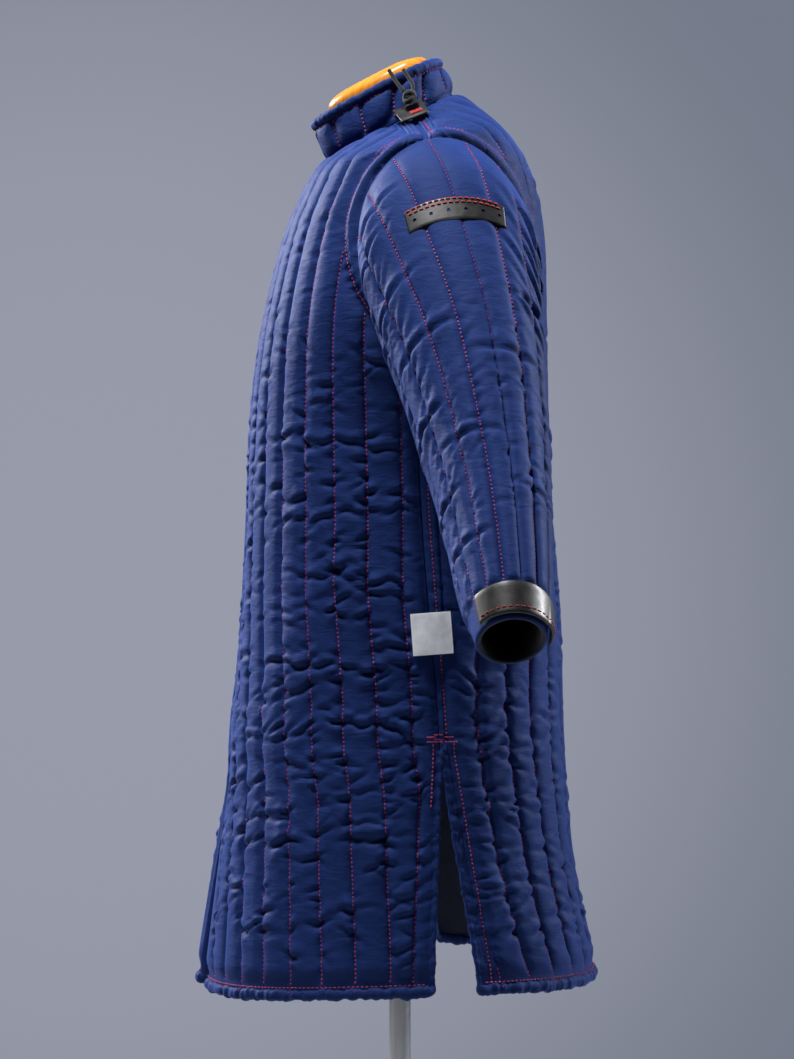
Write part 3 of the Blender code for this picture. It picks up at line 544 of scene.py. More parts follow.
# =====================================================================
# Materials
# =====================================================================
class Nodes:
    def __init__(self, name):
        self.mat = bpy.data.materials.new(name)
        self.mat.use_nodes = True
        self.nt = self.mat.node_tree
        self.bsdf = self.nt.nodes["Principled BSDF"]

    def new(self, kind, **settings):
        node = self.nt.nodes.new(kind)
        for key, value in settings.items():
            if key in node.inputs:
                node.inputs[key].default_value = value
            else:
                setattr(node, key, value)
        return node

    def link(self, a, b):
        self.nt.links.new(a, b)

    def set(self, **values):
        for key, value in values.items():
            self.bsdf.inputs[key.replace("_", " ")].default_value = value
        return self

    def noise(self, scale, detail=3.0, rough=0.55, vector=None, distortion=0.0):
        n = self.new("ShaderNodeTexNoise")
        n.inputs["Scale"].default_value = scale
        n.inputs["Detail"].default_value = detail
        n.inputs["Roughness"].default_value = rough
        n.inputs["Distortion"].default_value = distortion
        if vector is not None:
            self.link(vector, n.inputs["Vector"])
        return n

    def object_coords(self, scale=(1, 1, 1)):
        tc = self.new("ShaderNodeTexCoord")
        mp = self.new("ShaderNodeMapping")
        mp.inputs["Scale"].default_value = scale
        self.link(tc.outputs["Object"], mp.inputs["Vector"])
        return mp.outputs["Vector"]

    def uv(self, scale=(1, 1, 1), turn=0.0):
        tc = self.new("ShaderNodeTexCoord")
        mp = self.new("ShaderNodeMapping")
        mp.inputs["Scale"].default_value = scale
        mp.inputs["Rotation"].default_value = (0, 0, turn)
        self.link(tc.outputs["UV"], mp.inputs["Vector"])
        return mp.outputs["Vector"]

    def ramp(self, fac, stops):
        r = self.new("ShaderNodeValToRGB")
        while len(r.color_ramp.elements) < len(stops):
            r.color_ramp.elements.new(0.5)
        for e, (pos, col) in zip(r.color_ramp.elements, stops):
            e.position = pos
            e.color = (*col, 1.0) if len(col) == 3 else col
        self.link(fac, r.inputs["Fac"])
        return r.outputs["Color"]

    def mix(self, fac, a, b, blend="MIX"):
        m = self.new("ShaderNodeMix", data_type="RGBA", blend_type=blend)
        for sock, value in ((m.inputs[0], fac), (m.inputs[6], a), (m.inputs[7], b)):
            if hasattr(value, "is_linked"):
                self.link(value, sock)
            elif isinstance(value, tuple):
                sock.default_value = (*value, 1.0)
            else:
                sock.default_value = value
        return m.outputs[2]

    def map(self, value, lo, hi, a, b):
        m = self.new("ShaderNodeMapRange")
        self.link(value, m.inputs["Value"])
        for key, v in (("From Min", lo), ("From Max", hi), ("To Min", a), ("To Max", b)):
            m.inputs[key].default_value = v
        return m.outputs["Result"]

    def bump(self, height, strength, distance, normal=None):
        b = self.new("ShaderNodeBump")
        b.inputs["Strength"].default_value = strength
        b.inputs["Distance"].default_value = distance
        self.link(height, b.inputs["Height"])
        if normal is not None:
            self.link(normal, b.inputs["Normal"])
        return b.outputs["Normal"]

    def colour(self, sock):
        self.link(sock, self.bsdf.inputs["Base Color"])

    def rough(self, sock):
        self.link(sock, self.bsdf.inputs["Roughness"])

    def normal(self, sock):
        self.link(sock, self.bsdf.inputs["Normal"])


def sateen(name, deep, light, sheen=0.16, sheen_tint=(0.10, 0.22, 1.0)):
    """Cotton sateen: close diagonal ribs, soft sheen, slight unevenness of dye."""
    m = Nodes(name)
    obj = m.object_coords()
    big = m.noise(9.0, 4.0, 0.6, obj)
    mid = m.noise(90.0, 4.0, 0.6, obj)
    tone = m.mix(0.35, big.outputs["Fac"], mid.outputs["Fac"])
    base = m.ramp(tone, [(0.30, deep), (0.70, light)])
    weave = m.new("ShaderNodeTexWave", wave_type="BANDS", bands_direction="DIAGONAL")
    weave.inputs["Scale"].default_value = 330.0
    weave.inputs["Distortion"].default_value = 1.2
    weave.inputs["Detail"].default_value = 2.0
    m.link(m.uv((1.0, 1.0, 1.0)), weave.inputs["Vector"])
    ribs = m.map(weave.outputs["Fac"], 0.0, 1.0, 0.90, 1.06)
    m.colour(m.mix(1.0, base, ribs, "MULTIPLY"))
    slub = m.noise(700.0, 2.0, 0.5, m.object_coords((1.0, 1.0, 0.25)))
    n1 = m.bump(weave.outputs["Fac"], 0.20, 0.0003)
    n2 = m.bump(slub.outputs["Fac"], 0.22, 0.0006, n1)
    crinkle = m.noise(1.0, 4.0, 0.60, m.object_coords((42.0, 42.0, 120.0)), 0.7)
    n3 = m.bump(crinkle.outputs["Fac"], 0.38, 0.0030, n2)
    m.normal(n3)
    m.rough(m.map(mid.outputs["Fac"], 0.3, 0.7, 0.58, 0.70))
    m.set(Sheen_Weight=sheen, Sheen_Roughness=0.40, Specular_IOR_Level=0.09)
    m.bsdf.inputs["Specular Tint"].default_value = (0.55, 0.65, 1.0, 1.0)
    m.bsdf.inputs["Sheen Tint"].default_value = (*sheen_tint, 1.0)
    return m.mat


def lining(name):
    m = Nodes(name)
    obj = m.object_coords()
    n = m.noise(60.0, 4.0, 0.6, obj)
    m.colour(m.ramp(n.outputs["Fac"], [(0.3, (0.006, 0.009, 0.022)), (0.7, (0.012, 0.017, 0.038))]))
    m.normal(m.bump(m.noise(900.0, 2.0, 0.5, obj).outputs["Fac"], 0.3, 0.0005))
    m.set(Roughness=0.85, Sheen_Weight=0.15, Specular_IOR_Level=0.2)
    return m.mat


def leather(name):
    """Finished black leather: fine pebbled grain, waxy gloss, patchy wear."""
    m = Nodes(name)
    obj = m.object_coords()
    grain = m.new("ShaderNodeTexVoronoi", feature="F1")
    grain.inputs["Scale"].default_value = 850.0
    m.link(obj, grain.inputs["Vector"])
    wear = m.noise(120.0, 5.0, 0.65, obj)
    m.colour(m.ramp(wear.outputs["Fac"], [(0.35, (0.0035, 0.0035, 0.0042)), (0.75, (0.0100, 0.0095, 0.0110))]))
    n1 = m.bump(grain.outputs["Distance"], 0.20, 0.0004)
    m.normal(m.bump(m.noise(60.0, 3.0, 0.5, obj).outputs["Fac"], 0.25, 0.0012, n1))
    m.rough(m.map(wear.outputs["Fac"], 0.3, 0.75, 0.38, 0.54))
    m.set(Specular_IOR_Level=0.38, Coat_Weight=0.10, Coat_Roughness=0.22)
    return m.mat


def thread(name, a, b, rough=0.55, sheen=0.3):
    m = Nodes(name)
    obj = m.object_coords()
    n = m.noise(400.0, 2.0, 0.6, obj)
    m.colour(m.ramp(n.outputs["Fac"], [(0.3, a), (0.7, b)]))
    m.normal(m.bump(m.noise(2600.0, 1.0, 0.5, obj).outputs["Fac"], 0.4, 0.0002))
    m.set(Roughness=rough, Sheen_Weight=sheen, Specular_IOR_Level=0.25)
    return m.mat


def lacquered_wood(name):
    m = Nodes(name)
    obj = m.object_coords((1.0, 1.0, 1.0))
    along = m.object_coords((55.0, 9.0, 9.0))
    rings = m.noise(1.0, 6.0, 0.62, along, 1.6)
    fine = m.noise(1.0, 4.0, 0.7, m.object_coords((420.0, 26.0, 26.0)))
    tone = m.mix(0.4, rings.outputs["Fac"], fine.outputs["Fac"])
    m.colour(m.ramp(tone, [(0.30, (0.330, 0.105, 0.012)), (0.50, (0.600, 0.220, 0.024)), (0.72, (0.800, 0.350, 0.050))]))
    m.normal(m.bump(fine.outputs["Fac"], 0.06, 0.0004))
    m.rough(m.map(m.noise(30.0, 3.0, 0.5, obj).outputs["Fac"], 0.3, 0.7, 0.24, 0.34))
    m.set(Coat_Weight=0.16, Coat_Roughness=0.14, Specular_IOR_Level=0.25)
    return m.mat


def woven_tape(name):
    m = Nodes(name)
    obj = m.object_coords()
    br = m.new("ShaderNodeTexWave", wave_type="BANDS", bands_direction="Z")
    br.inputs["Scale"].default_value = 420.0
    br.inputs["Distortion"].default_value = 0.6
    m.link(obj, br.inputs["Vector"])
    n = m.noise(120.0, 4.0, 0.6, obj)
    m.colour(m.ramp(n.outputs["Fac"], [(0.3, (0.74, 0.75, 0.80)), (0.7, (0.88, 0.89, 0.93))]))
    n1 = m.bump(br.outputs["Fac"], 0.35, 0.0003)
    m.normal(m.bump(n.outputs["Fac"], 0.25, 0.0010, n1))
    m.set(Roughness=0.72, Sheen_Weight=0.2)
    return m.mat


def plain(name, a, b, rough_lo, rough_hi, metallic=0.0, scale=(30.0, 30.0, 30.0), bump=0.1, coat=0.0):
    m = Nodes(name)
    vec = m.object_coords(scale)
    n = m.noise(1.0, 5.0, 0.6, vec)
    m.colour(m.ramp(n.outputs["Fac"], [(0.3, a), (0.7, b)]))
    m.rough(m.map(n.outputs["Fac"], 0.3, 0.7, rough_lo, rough_hi))
    m.normal(m.bump(n.outputs["Fac"], bump, 0.0008))
    m.set(Metallic=metallic, Coat_Weight=coat)
    return m.mat


CLOTH = sateen("navy_sateen", (0.0078, 0.0195, 0.0880), (0.0128, 0.0295, 0.1280))
CLOTH_BACK = sateen("navy_sateen_back", (0.0078, 0.0195, 0.0880), (0.0128, 0.0295, 0.1280))
# the sleeves get a lighter copy of the body's navy cloth: painted light, not a different dye
SLEEVE_CLOTH_PAINTED_LIGHTER = sateen("navy_sateen_sleeve_painted_lighter", (0.0086, 0.0210, 0.0940), (0.0142, 0.0320, 0.1360))
BINDING = sateen("navy_binding", (0.0072, 0.0175, 0.0780), (0.0118, 0.0265, 0.1120), sheen=0.3)
LINING = lining("dark_lining")
LEATHER_MAT = leather("black_leather")
RED = thread("red_thread", (0.230, 0.010, 0.060), (0.350, 0.016, 0.090), 0.7, 0.15)
RED_HEAVY = thread("red_heavy_thread", (0.330, 0.006, 0.014), (0.480, 0.014, 0.024), 0.6, 0.08)
LACE = thread("black_lace", (0.006, 0.007, 0.008), (0.016, 0.017, 0.018), 0.85, 0.1)
TAPE = woven_tape("white_tape")
WOOD = lacquered_wood("lacquered_wood")
FORM = plain("form_cover", (0.016, 0.016, 0.018), (0.024, 0.024, 0.026), 0.75, 0.9, scale=(300.0, 300.0, 300.0), bump=0.3)
STEEL = plain("satin_steel", (0.50, 0.51, 0.53), (0.62, 0.63, 0.65), 0.28, 0.38, 1.0, (400.0, 400.0, 6.0), 0.05)
PLATE = plain("powder_coat", (0.020, 0.020, 0.022), (0.035, 0.035, 0.038), 0.40, 0.52, 0.0, (900.0, 900.0, 900.0), 0.25)


# =====================================================================
# Body panels
# =====================================================================
CELLS = (0.0, 0.045, 0.16, 0.32, 0.5, 0.68, 0.84, 0.955)
ROW_STEP = 0.0026
EDGE_ROLL = 0.0042


def body_rows():
    """Ring indexes, evenly spaced along the side from hem to neck."""
    dense = np.linspace(0, len(RINGS) - 1, 3000)
    side = body_point(dense, np.full(dense.shape, np.pi / 2))
    run = np.concatenate([[0], np.cumsum(np.linalg.norm(np.diff(side, axis=0), axis=1))])
    count = int(run[-1] / ROW_STEP) + 1
    return np.interp(np.linspace(0, run[-1], count), run, dense)


# Long creases: distance round from the centre line, height,
# length, depth and slope (rise per metre across), on the front and the back.
FOLDS_FRONT = [
    # round   z      length  depth   slope
    (0.235, 1.072, 0.150, 0.0062, -0.12),
    (0.130, 1.082, 0.060, 0.0030, 0.10),
    (0.262, 1.165, 0.060, 0.0048, -0.45),
    (0.200, 1.122, 0.050, 0.0030, 0.15),
    (0.225, 0.994, 0.110, 0.0058, 0.14),
    (0.292, 1.000, 0.050, 0.0042, 0.28),
    (0.150, 0.985, 0.050, 0.0035, 0.20),
    (0.225, 0.924, 0.170, 0.0050, -0.07),
    (0.205, 0.902, 0.150, 0.0018, -0.05),
    (0.215, 0.950, 0.045, 0.0034, 0.25),
    (0.250, 0.938, 0.040, 0.0030, -0.20),
    (0.160, 0.870, 0.060, 0.0032, -0.15),
    (0.290, 0.846, 0.045, 0.0045, 0.10),
    (0.195, 0.826, 0.190, 0.0062, -0.03),
    (0.262, 0.766, 0.100, 0.0064, -0.24),
    (0.315, 0.752, 0.080, 0.0062, -0.40),
    (0.170, 0.790, 0.060, 0.0045, 0.45),
    (0.115, 0.745, 0.070, 0.0042, 0.10),
    (0.210, 0.715, 0.060, 0.0035, -0.15),
    (0.270, 0.690, 0.080, 0.0032, -0.10),
    (0.080, 0.690, 0.060, 0.0036, 0.10),
    (0.140, 0.655, 0.080, 0.0034, 0.05),
    (0.300, 0.640, 0.080, 0.0030, 0.12),
    (0.220, 0.610, 0.070, 0.0030, -0.05),
    (0.110, 0.585, 0.080, 0.0030, 0.05),
    (0.280, 0.560, 0.090, 0.0026, 0.05),
    (0.180, 0.535, 0.070, 0.0026, -0.05),
    (0.080, 1.000, 0.070, 0.0030, 0.05),
    (0.070, 0.905, 0.060, 0.0032, -0.05),
    (0.065, 0.835, 0.080, 0.0042, 0.05),
    (0.090, 1.150, 0.060, 0.0022, 0.10),
]
FOLDS_BACK = [
    # round   z      length  depth   slope
    (0.060, 1.060, 0.120, 0.0040, 0.05),
    (0.200, 1.020, 0.110, 0.0050, -0.10),
    (0.100, 0.955, 0.120, 0.0045, 0.02),
    (0.255, 0.925, 0.080, 0.0050, 0.10),
    (0.170, 0.870, 0.110, 0.0050, -0.06),
    (0.050, 0.845, 0.090, 0.0040, 0.05),
    (0.265, 0.800, 0.070, 0.0050, 0.18),
    (0.140, 0.765, 0.100, 0.0050, 0.05),
    (0.220, 0.735, 0.120, 0.0055, -0.05),
    (0.090, 0.690, 0.100, 0.0040, 0.05),
    (0.215, 0.672, 0.090, 0.0042, 0.10),
    (0.180, 0.620, 0.080, 0.0038, 0.08),
    (0.240, 0.585, 0.090, 0.0034, -0.02),
    (0.150, 0.545, 0.190, 0.0034, 0.01),
    (0.060, 1.200, 0.100, 0.0028, -0.05),
    (0.130, 1.140, 0.100, 0.0030, 0.05),
]


def crease_shape(dz, width=1.0):
    """A sharp trough under an overhanging bulge, with a softer rise below it."""
    d = dz / width
    return (-1.1 * np.exp(-(np.abs(d / 0.0027) ** 1.6)) + 0.52 * np.exp(-(((d - 0.0066) / 0.0060) ** 2))
            + 0.32 * np.exp(-(((d + 0.0095) / 0.0090) ** 2)))


def pucker_field(rng, s, z, lines, per_metre, depth, reach, tilt_mean=0.0):
    """Short creases that start at the stitch lines and die out in the channels."""
    out = np.zeros_like(s)
    R, C = s.shape
    mean_s = s.mean(0)
    for line in lines:
        for side in (-1, 1):
            col = line[:, None] if np.ndim(line) else line
            z_line = z[:, min(int(np.argmin(np.abs(mean_s - np.mean(line)))), C - 1)]
            lo, hi = z_line.min(), z_line.max()
            count = int((hi - lo) * per_metre)
            zs = np.sort(rng.uniform(lo, hi, count))
            for z0 in zs:
                length = reach * rng.uniform(0.5, 1.5)
                deep = depth * rng.uniform(0.35, 1.25) * (1.0 if rng.random() < 0.75 else 1.7)
                tilt = side * rng.normal(tilt_mean, 0.30)
                width = rng.uniform(0.65, 1.35)
                i = int(np.clip(np.searchsorted(z_line, z0), 0, R - 1))
                i0, i1 = max(0, i - 12), min(R, i + 13)
                centre = line[i] if np.ndim(line) else line
                c0 = np.searchsorted(s[i], centre - (length if side < 0 else 0.004)) - 1
                c1 = np.searchsorted(s[i], centre + (length if side > 0 else 0.004)) + 1
                c0, c1 = max(0, c0), min(C, c1)
                if c1 - c0 < 2:
                    continue
                ds = (s[i0:i1, c0:c1] - centre) * side
                dz = z[i0:i1, c0:c1] - z0 - tilt * ds - 0.0012 * np.sin(ds * 160 + z0 * 300)
                w = smooth((ds + 0.003) / 0.005) * smooth(1.15 - ds / length)
                out[i0:i1, c0:c1] += deep * w * crease_shape(dz, width)
    return out


def fold_field(folds, s, z):
    """Troughs with a soft ridge on either side."""
    out = np.zeros_like(s)
    ease = np.zeros_like(s)
    for s0, z0, length, depth, slope in folds:
        along = (s - s0) / (length / 2)
        window = smooth(1.25 - np.abs(along))
        dz = z - z0 - slope * (s - s0) - 0.0030 * np.sin((s - s0) * 85 + s0 * 90) - 0.0016 * np.sin((s - s0) * 210 + z0 * 70)
        out += depth * crease_shape(dz) * window
        ease += window * np.exp(-((dz / 0.020) ** 2)) * depth / 0.006
    return out, np.clip(ease, 0, 1.2)


def armhole_distance(B):
    y, z = (B[..., 1] - ARM_Y), (B[..., 2] - ARM_Z)
    q2 = (y / ARM_HALF_Y) ** 2 + (z / ARM_HALF_Z) ** 2
    g = 2 * np.sqrt((y / ARM_HALF_Y**2) ** 2 + (z / ARM_HALF_Z**2) ** 2)
    d = (q2 - 1) / np.maximum(g, 1e-6)
    far = np.sqrt(np.maximum((np.abs(y) - ARM_HALF_Y * 0.6) ** 2, 0) + z**2)
    return np.where(q2 > 3.0, np.maximum(d, 0.05), d)


def kick_forward(grid):
    low = np.clip((FRONT_SLIT_TOP - grid[..., 2]) / 0.28, 0.0, 1.0)
    near = np.clip(1.0 - np.abs(grid[..., 0]) / 0.16, 0.0, 1.0)
    grid[..., 1] -= 0.0105 * low**1.1 * near
    return grid


LINE_Z = (0.479, 0.767, 0.914, 1.072, 1.5)
FRONT_LINE = (0.3265, 0.2857, 0.2611, 0.2505, 0.2505)     # one line, round from the slit edge
BACK_DRIFT = (-0.0020, 0.0145, 0.0060, 0.0, 0.0)
FRONT_LINES, BACK_LINES = 9, 7


def panel_grid(kind, rows_t):
    """Columns of a half panel from its centre line (front: slit edge, back: centre back) to the side."""
    tab = cubic(RINGS, rows_t)
    angles = np.linspace(0, np.pi, 721)
    S, ANG, END, START, RAW = [], [], [], [], []
    cells = np.array(CELLS)
    for i, t in enumerate(rows_t):
        pts = oval(np.broadcast_to(tab[i], (721, tab.shape[1])), angles)
        run = np.concatenate([[0], np.cumsum(np.linalg.norm(np.diff(pts, axis=0), axis=1))])
        seam = angle_at_y(tab[i], tab[i, 7] if kind == "front" else tab[i, 8])
        at = np.interp(seam, angles, run)
        z = (tab[i, 0] + tab[i, 1]) / 2
        if kind == "front":
            start, end = max(tab[i, 9], 0.0) + EDGE_ROLL, at - 0.0004 - EDGE_ROLL * 0.6
            raw = start - EDGE_ROLL + np.interp(z, LINE_Z, FRONT_LINE) + 0.0395 * (np.arange(FRONT_LINES) - 7)
        else:
            start, end = 0.0, run[-1] - at - 0.0004 - EDGE_ROLL * 0.6
            k = np.arange(1, BACK_LINES + 1)
            raw = 0.040 * k + np.interp(z, LINE_Z, BACK_DRIFT) * smooth((k - 1.5) / 2.5)
        n = len(raw)
        if kind == "front":
            keep_off = 0.0045 + 0.0135 * float(smooth((SIDE_SLIT_TOP + 0.03 - z) / 0.05))
            raw = np.minimum(raw, end - keep_off - 0.0045 * np.arange(n - 1, -1, -1))
        lines = np.maximum(raw, start + 0.0030 * np.arange(1, n + 1))
        lines = np.minimum(lines, end - 0.0045 * np.arange(n, 0, -1))
        knots = np.concatenate([[start], lines, [end]])
        s_row = np.concatenate([a + cells * (b - a) for a, b in zip(knots[:-1], knots[1:])] + [[end]])
        S.append(s_row)
        RAW.append(raw)
        ANG.append(np.interp(s_row if kind == "front" else run[-1] - s_row, run, angles))
        END.append(end)
        START.append(start)
    return np.array(S), np.array(ANG), np.array(END), np.array(START), np.array(RAW)


def make_panel(kind, sign, seed):
    rng = np.random.default_rng(seed)
    rows_t = body_rows()
    s, ang, end, start, raw = panel_grid(kind, rows_t)
    R, C = s.shape
    T = np.repeat(rows_t[:, None], C, 1)
    B, N = body_point(T, ang), body_normal(T, ang)
    if kind == "back":
        B[:, 0, 0] = 0.0
    N[:, 0, 0] *= 0.15
    N = unit(N)
    z = B[..., 2]
    # distances: to the nearest stitch line, the seam, the armhole, the hem and the neck
    last = (C - 1) // 8 - 1
    k = np.minimum(np.arange(C) // 8, last)
    line_lo, line_hi = s[:, k * 8], s[:, np.minimum((k + 1) * 8, C - 1)]
    x = (s - line_lo) / np.maximum(line_hi - line_lo, 1e-4)
    d_seam = end[:, None] - s
    d_arm = armhole_distance(B)
    run_v = np.concatenate([np.zeros((1, C)), np.cumsum(np.linalg.norm(np.diff(B, axis=0), axis=2), 0)])
    d_hem, d_neck = run_v, run_v[-1:] - run_v
    puff = (1 - np.abs(2 * x - 1) ** 3.0) ** 0.70
    width = (line_hi - line_lo) / CHANNEL
    valley = VALLEY * (1.0 + 0.20 * np.clip((0.12 - s) / 0.12, 0, 1))
    target = -valley + (valley + CROWN) * puff * np.clip(width, 0.02, 1.0) ** 0.5
    if kind == "front":
        edge = (k == 0)[None] & (x < 0.5)
        target = np.where(edge, np.maximum(target, -0.0030 + 0.0030 * smooth((s - start[:, None]) / 0.006)), target)
        target[:, 0] = -0.0030
    folds, ease = fold_field(FOLDS_FRONT if kind == "front" else FOLDS_BACK, s, z)
    if sign < 0:
        folds, ease = fold_field([(a + 0.012 * math.sin(9 * b), b - 0.014 + 0.02 * math.cos(31 * a), l, d, -e)
                                  for a, b, l, d, e in (FOLDS_FRONT if kind == "front" else FOLDS_BACK)], s, z)
    live = smooth(d_arm / 0.03) * smooth(d_hem / 0.05) * smooth(d_neck / 0.03)
    high_z = smooth((z - 1.08) / 0.16)
    # padded lip round the armhole, between its edge and its stitching
    lip = -0.0030 + 0.0048 * np.clip(np.sin(np.pi * np.clip(d_arm / LIP, 0, 1)), 0, 1) ** 0.7
    blend = smooth((d_arm - LIP) / 0.016)
    target = np.where(d_arm < LIP, lip, -0.0048 + (target + 0.0048) * blend)
    # seams at the side and the shoulder, the neck and the hem
    slit = smooth((SIDE_SLIT_TOP - z) / 0.012)
    at_seam = np.clip(d_seam / 0.009, 0, 1) ** 0.55
    sink = 0.0052 - 0.0026 * slit
    target = -sink + (target + sink) * at_seam
    if kind == "back":
        groove = np.exp(-(((d_seam - SEAM_STITCH) / 0.0018) ** 2))
        target -= 0.0016 * groove
    slit_stitch = np.exp(-(((d_seam + EDGE_ROLL - 0.0155) / 0.0025) ** 2)) * slit * (kind == "back")
    target = target - (target + VALLEY) * slit_stitch * 0.85
    target = -0.0050 + (target + 0.0050) * np.clip(d_neck / 0.012, 0, 1) ** 0.6
    hem_line = 0.0042
    target = -0.0062 + (target + 0.0062) * (0.15 + 0.85 * smooth((d_hem - hem_line) / 0.020))

    pinned = np.zeros((R, C), bool)
    pinned[:, ::8] = True
    pinned[:, -1] = True
    pinned[:, 0] = kind == "front"
    pinned[0] = pinned[-1] = pinned[1] = pinned[2] = True
    pinned |= (np.abs(d_arm - LIP) < 0.0026) | (d_arm < 0.002)
    pinned |= d_seam < 0.0015
    if kind == "back" and sign != 0:
        pinned |= (np.abs(d_seam - SEAM_STITCH) < 0.0016)
    pinned |= (slit_stitch > 0.6)

    # vertical ease: more cloth than seam, uneven, most from the waist down and at the sides
    noise = soft_noise(rng, R, C, 9.0, 8.0)
    noise2 = soft_noise(rng, R, C, 26.0, 16.0)
    high = smooth((z - 1.10) / 0.16)
    ease_v = np.clip(0.023 + 0.013 * noise + 0.011 * noise2, 0.0, 0.070)
    ease_v = ease_v * (1.0 - 0.62 * high) + 0.045 * ease
    ease_v *= 0.25 + 0.75 * smooth(d_hem / 0.06)
    seeds = soft_noise(rng, R, C, 5.0, 6.0) * 0.0010 + soft_noise(rng, R, C, 8.5, 12.0) * 0.0008
    seeds *= (1 - 0.5 * high)
    P = B + N * target[..., None]
    flat_v = np.linalg.norm(np.diff(P, axis=0), axis=2)
    base_v = np.linalg.norm(np.diff(B, axis=0), axis=2)
    flat_h = np.linalg.norm(np.diff(P, axis=1), axis=2)
    rest_v = np.maximum(base_v, flat_v * 0.5) * (1 + (ease_v[1:] + ease_v[:-1]) / 2)
    rest_h = flat_h * 1.015
    start_p = P + N * (seeds * puff * live)[..., None] * (~pinned)[..., None]
    P = relax(start_p, B, N, target, pinned, rest_h, rest_v, 90, soft=0.09)
    h = ((P - B) * N).sum(-1)
    over = np.clip(h, -0.0108, 0.0065) - h
    P = P + N * over[..., None]
    if kind == "back":
        P[:, 0, 0] = 0.0

    P2, B2, N2, s2 = twice(P, 1), twice(B, 1), unit(twice(N, 1)), twice(s, 1)
    end2, start2 = end, start
    if kind == "back":
        B2[:, 0, 0] = 0.0
    # creases: long ones across the channels, short ones at the stitch lines
    lines = [s[:, col] for col in range(8, C - 8, 8)] + [end]
    puckers = pucker_field(rng, s2, B2[..., 2], lines, 44.0, 0.0027, 0.018)
    low = smooth((0.815 - B2[..., 2]) / 0.05) * smooth(s2 / 0.06)
    lower = pucker_field(rng, s2, B2[..., 2], lines, 17.0, 0.0029, 0.023, 0.45 if kind == "front" else 0.15)
    side_part = smooth((s2 - 0.17) / 0.06) * smooth((1.14 - B2[..., 2]) / 0.05)
    puckers = puckers * (0.85 + 0.35 * side_part) + lower * low * (1.0 - 0.45 * smooth((0.56 - B2[..., 2]) / 0.06))
    puff2, live2, high2 = twice(puff, 1), twice(live, 1), twice(high_z, 1)
    if sign < 0:
        folds2, _ = fold_field([(a + 0.012 * math.sin(9 * b), b - 0.014 + 0.02 * math.cos(31 * a), l, d, -e)
                                for a, b, l, d, e in (FOLDS_FRONT if kind == "front" else FOLDS_BACK)], s2, B2[..., 2])
    else:
        folds2, _ = fold_field(FOLDS_FRONT if kind == "front" else FOLDS_BACK, s2, B2[..., 2])
    near_slit = smooth((end2[:, None] - s2 - 0.010) / 0.010)
    extra = folds2 * (0.14 + 0.46 * puff2) + puckers * (1.0 - 0.55 * high2)
    P2 = P2 + N2 * (extra * live2 * (0.25 + 0.75 * near_slit))[..., None]
    d_arm2 = armhole_distance(B2)
    d_seam2 = end2[:, None] - s2
    top = np.arange(len(s2)) >= np.searchsorted(rows_t, 15.0)
    f = np.minimum(d_arm2, np.where(top[:, None], d_seam2, 1.0))
    uv = np.stack([s2, np.repeat(np.concatenate([[0], np.cumsum(np.linalg.norm(np.diff(B2[:, 60], axis=0), axis=1))])[:, None], s2.shape[1], 1)], -1)

    # rolled edges: the columns past the first and last one turn in
    def roll(col, other, open_edge, r_shut, r_open, steps=8):
        E, n = P2[:, col], N2[:, col]
        O = unit(P2[:, col] - P2[:, other])
        O = unit(O - (O * n).sum(-1, keepdims=True) * n)
        w = open_edge[:, None]
        r = r_shut + (r_open - r_shut) * w
        rn = 0.0032 + (0.0046 - 0.0032) * w
        out = []
        for q in range(1, steps + 1):
            ang_q = np.pi * q / steps * (0.62 + 0.38 * w)
            out.append(E + O * r * np.where(ang_q < np.pi / 2, np.sin(ang_q), 1 - (1 - np.sin(ang_q)) * w) - n * rn * (1 - np.cos(ang_q)))
        return np.stack(out, 1)

    z_edge = B2[:, -1, 2]
    right = roll(-1, -3, smooth((SIDE_SLIT_TOP - 0.002 - z_edge) / 0.02), EDGE_ROLL * 0.6, 0.0048)
    grids = [P2, right]
    if kind == "front":
        left = roll(0, 2, smooth((FRONT_SLIT_TOP - B2[:, 0, 2]) / 0.02), EDGE_ROLL, EDGE_ROLL)[:, ::-1]
        # where the front is closed, both edges meet at the middle
        closed = smooth((B2[:, 0, 2] - FRONT_SLIT_TOP - 0.004) / 0.02)[:, None]
        left[..., 0] = left[..., 0] * (1 - closed) + np.maximum(left[..., 0], 0.0003) * closed
        grids = [left, P2, right]
    full = np.concatenate(grids, 1)
    off = grids[0].shape[1] if kind == "front" else 0
    pad_r = right.shape[1]
    fn = np.concatenate(([N2[:, :1].repeat(off, 1)] if off else []) + [N2, N2[:, -1:].repeat(pad_r, 1)], 1)
    ff = np.concatenate(([f[:, :1].repeat(off, 1)] if off else []) + [f, np.where(top[:, None], np.minimum(f[:, -1:], -0.001), f[:, -1:]).repeat(pad_r, 1)], 1)
    fuv = np.concatenate(([uv[:, :1].repeat(off, 1)] if off else []) + [uv, uv[:, -1:].repeat(pad_r, 1)], 1)

    # lining side, coarse
    Bi = (B - N * 0.0118)[::6, ::4]
    di = np.minimum(d_arm, np.where((rows_t >= 15.0)[:, None], d_seam, 1.0))[::6, ::4]
    if (C - 1) % 4:
        Bi = np.concatenate([Bi, (B - N * 0.0118)[::6, -1:]], 1)
        di = np.concatenate([di, np.minimum(d_arm, np.where((rows_t >= 15.0)[:, None], d_seam, 1.0))[::6, -1:]], 1)

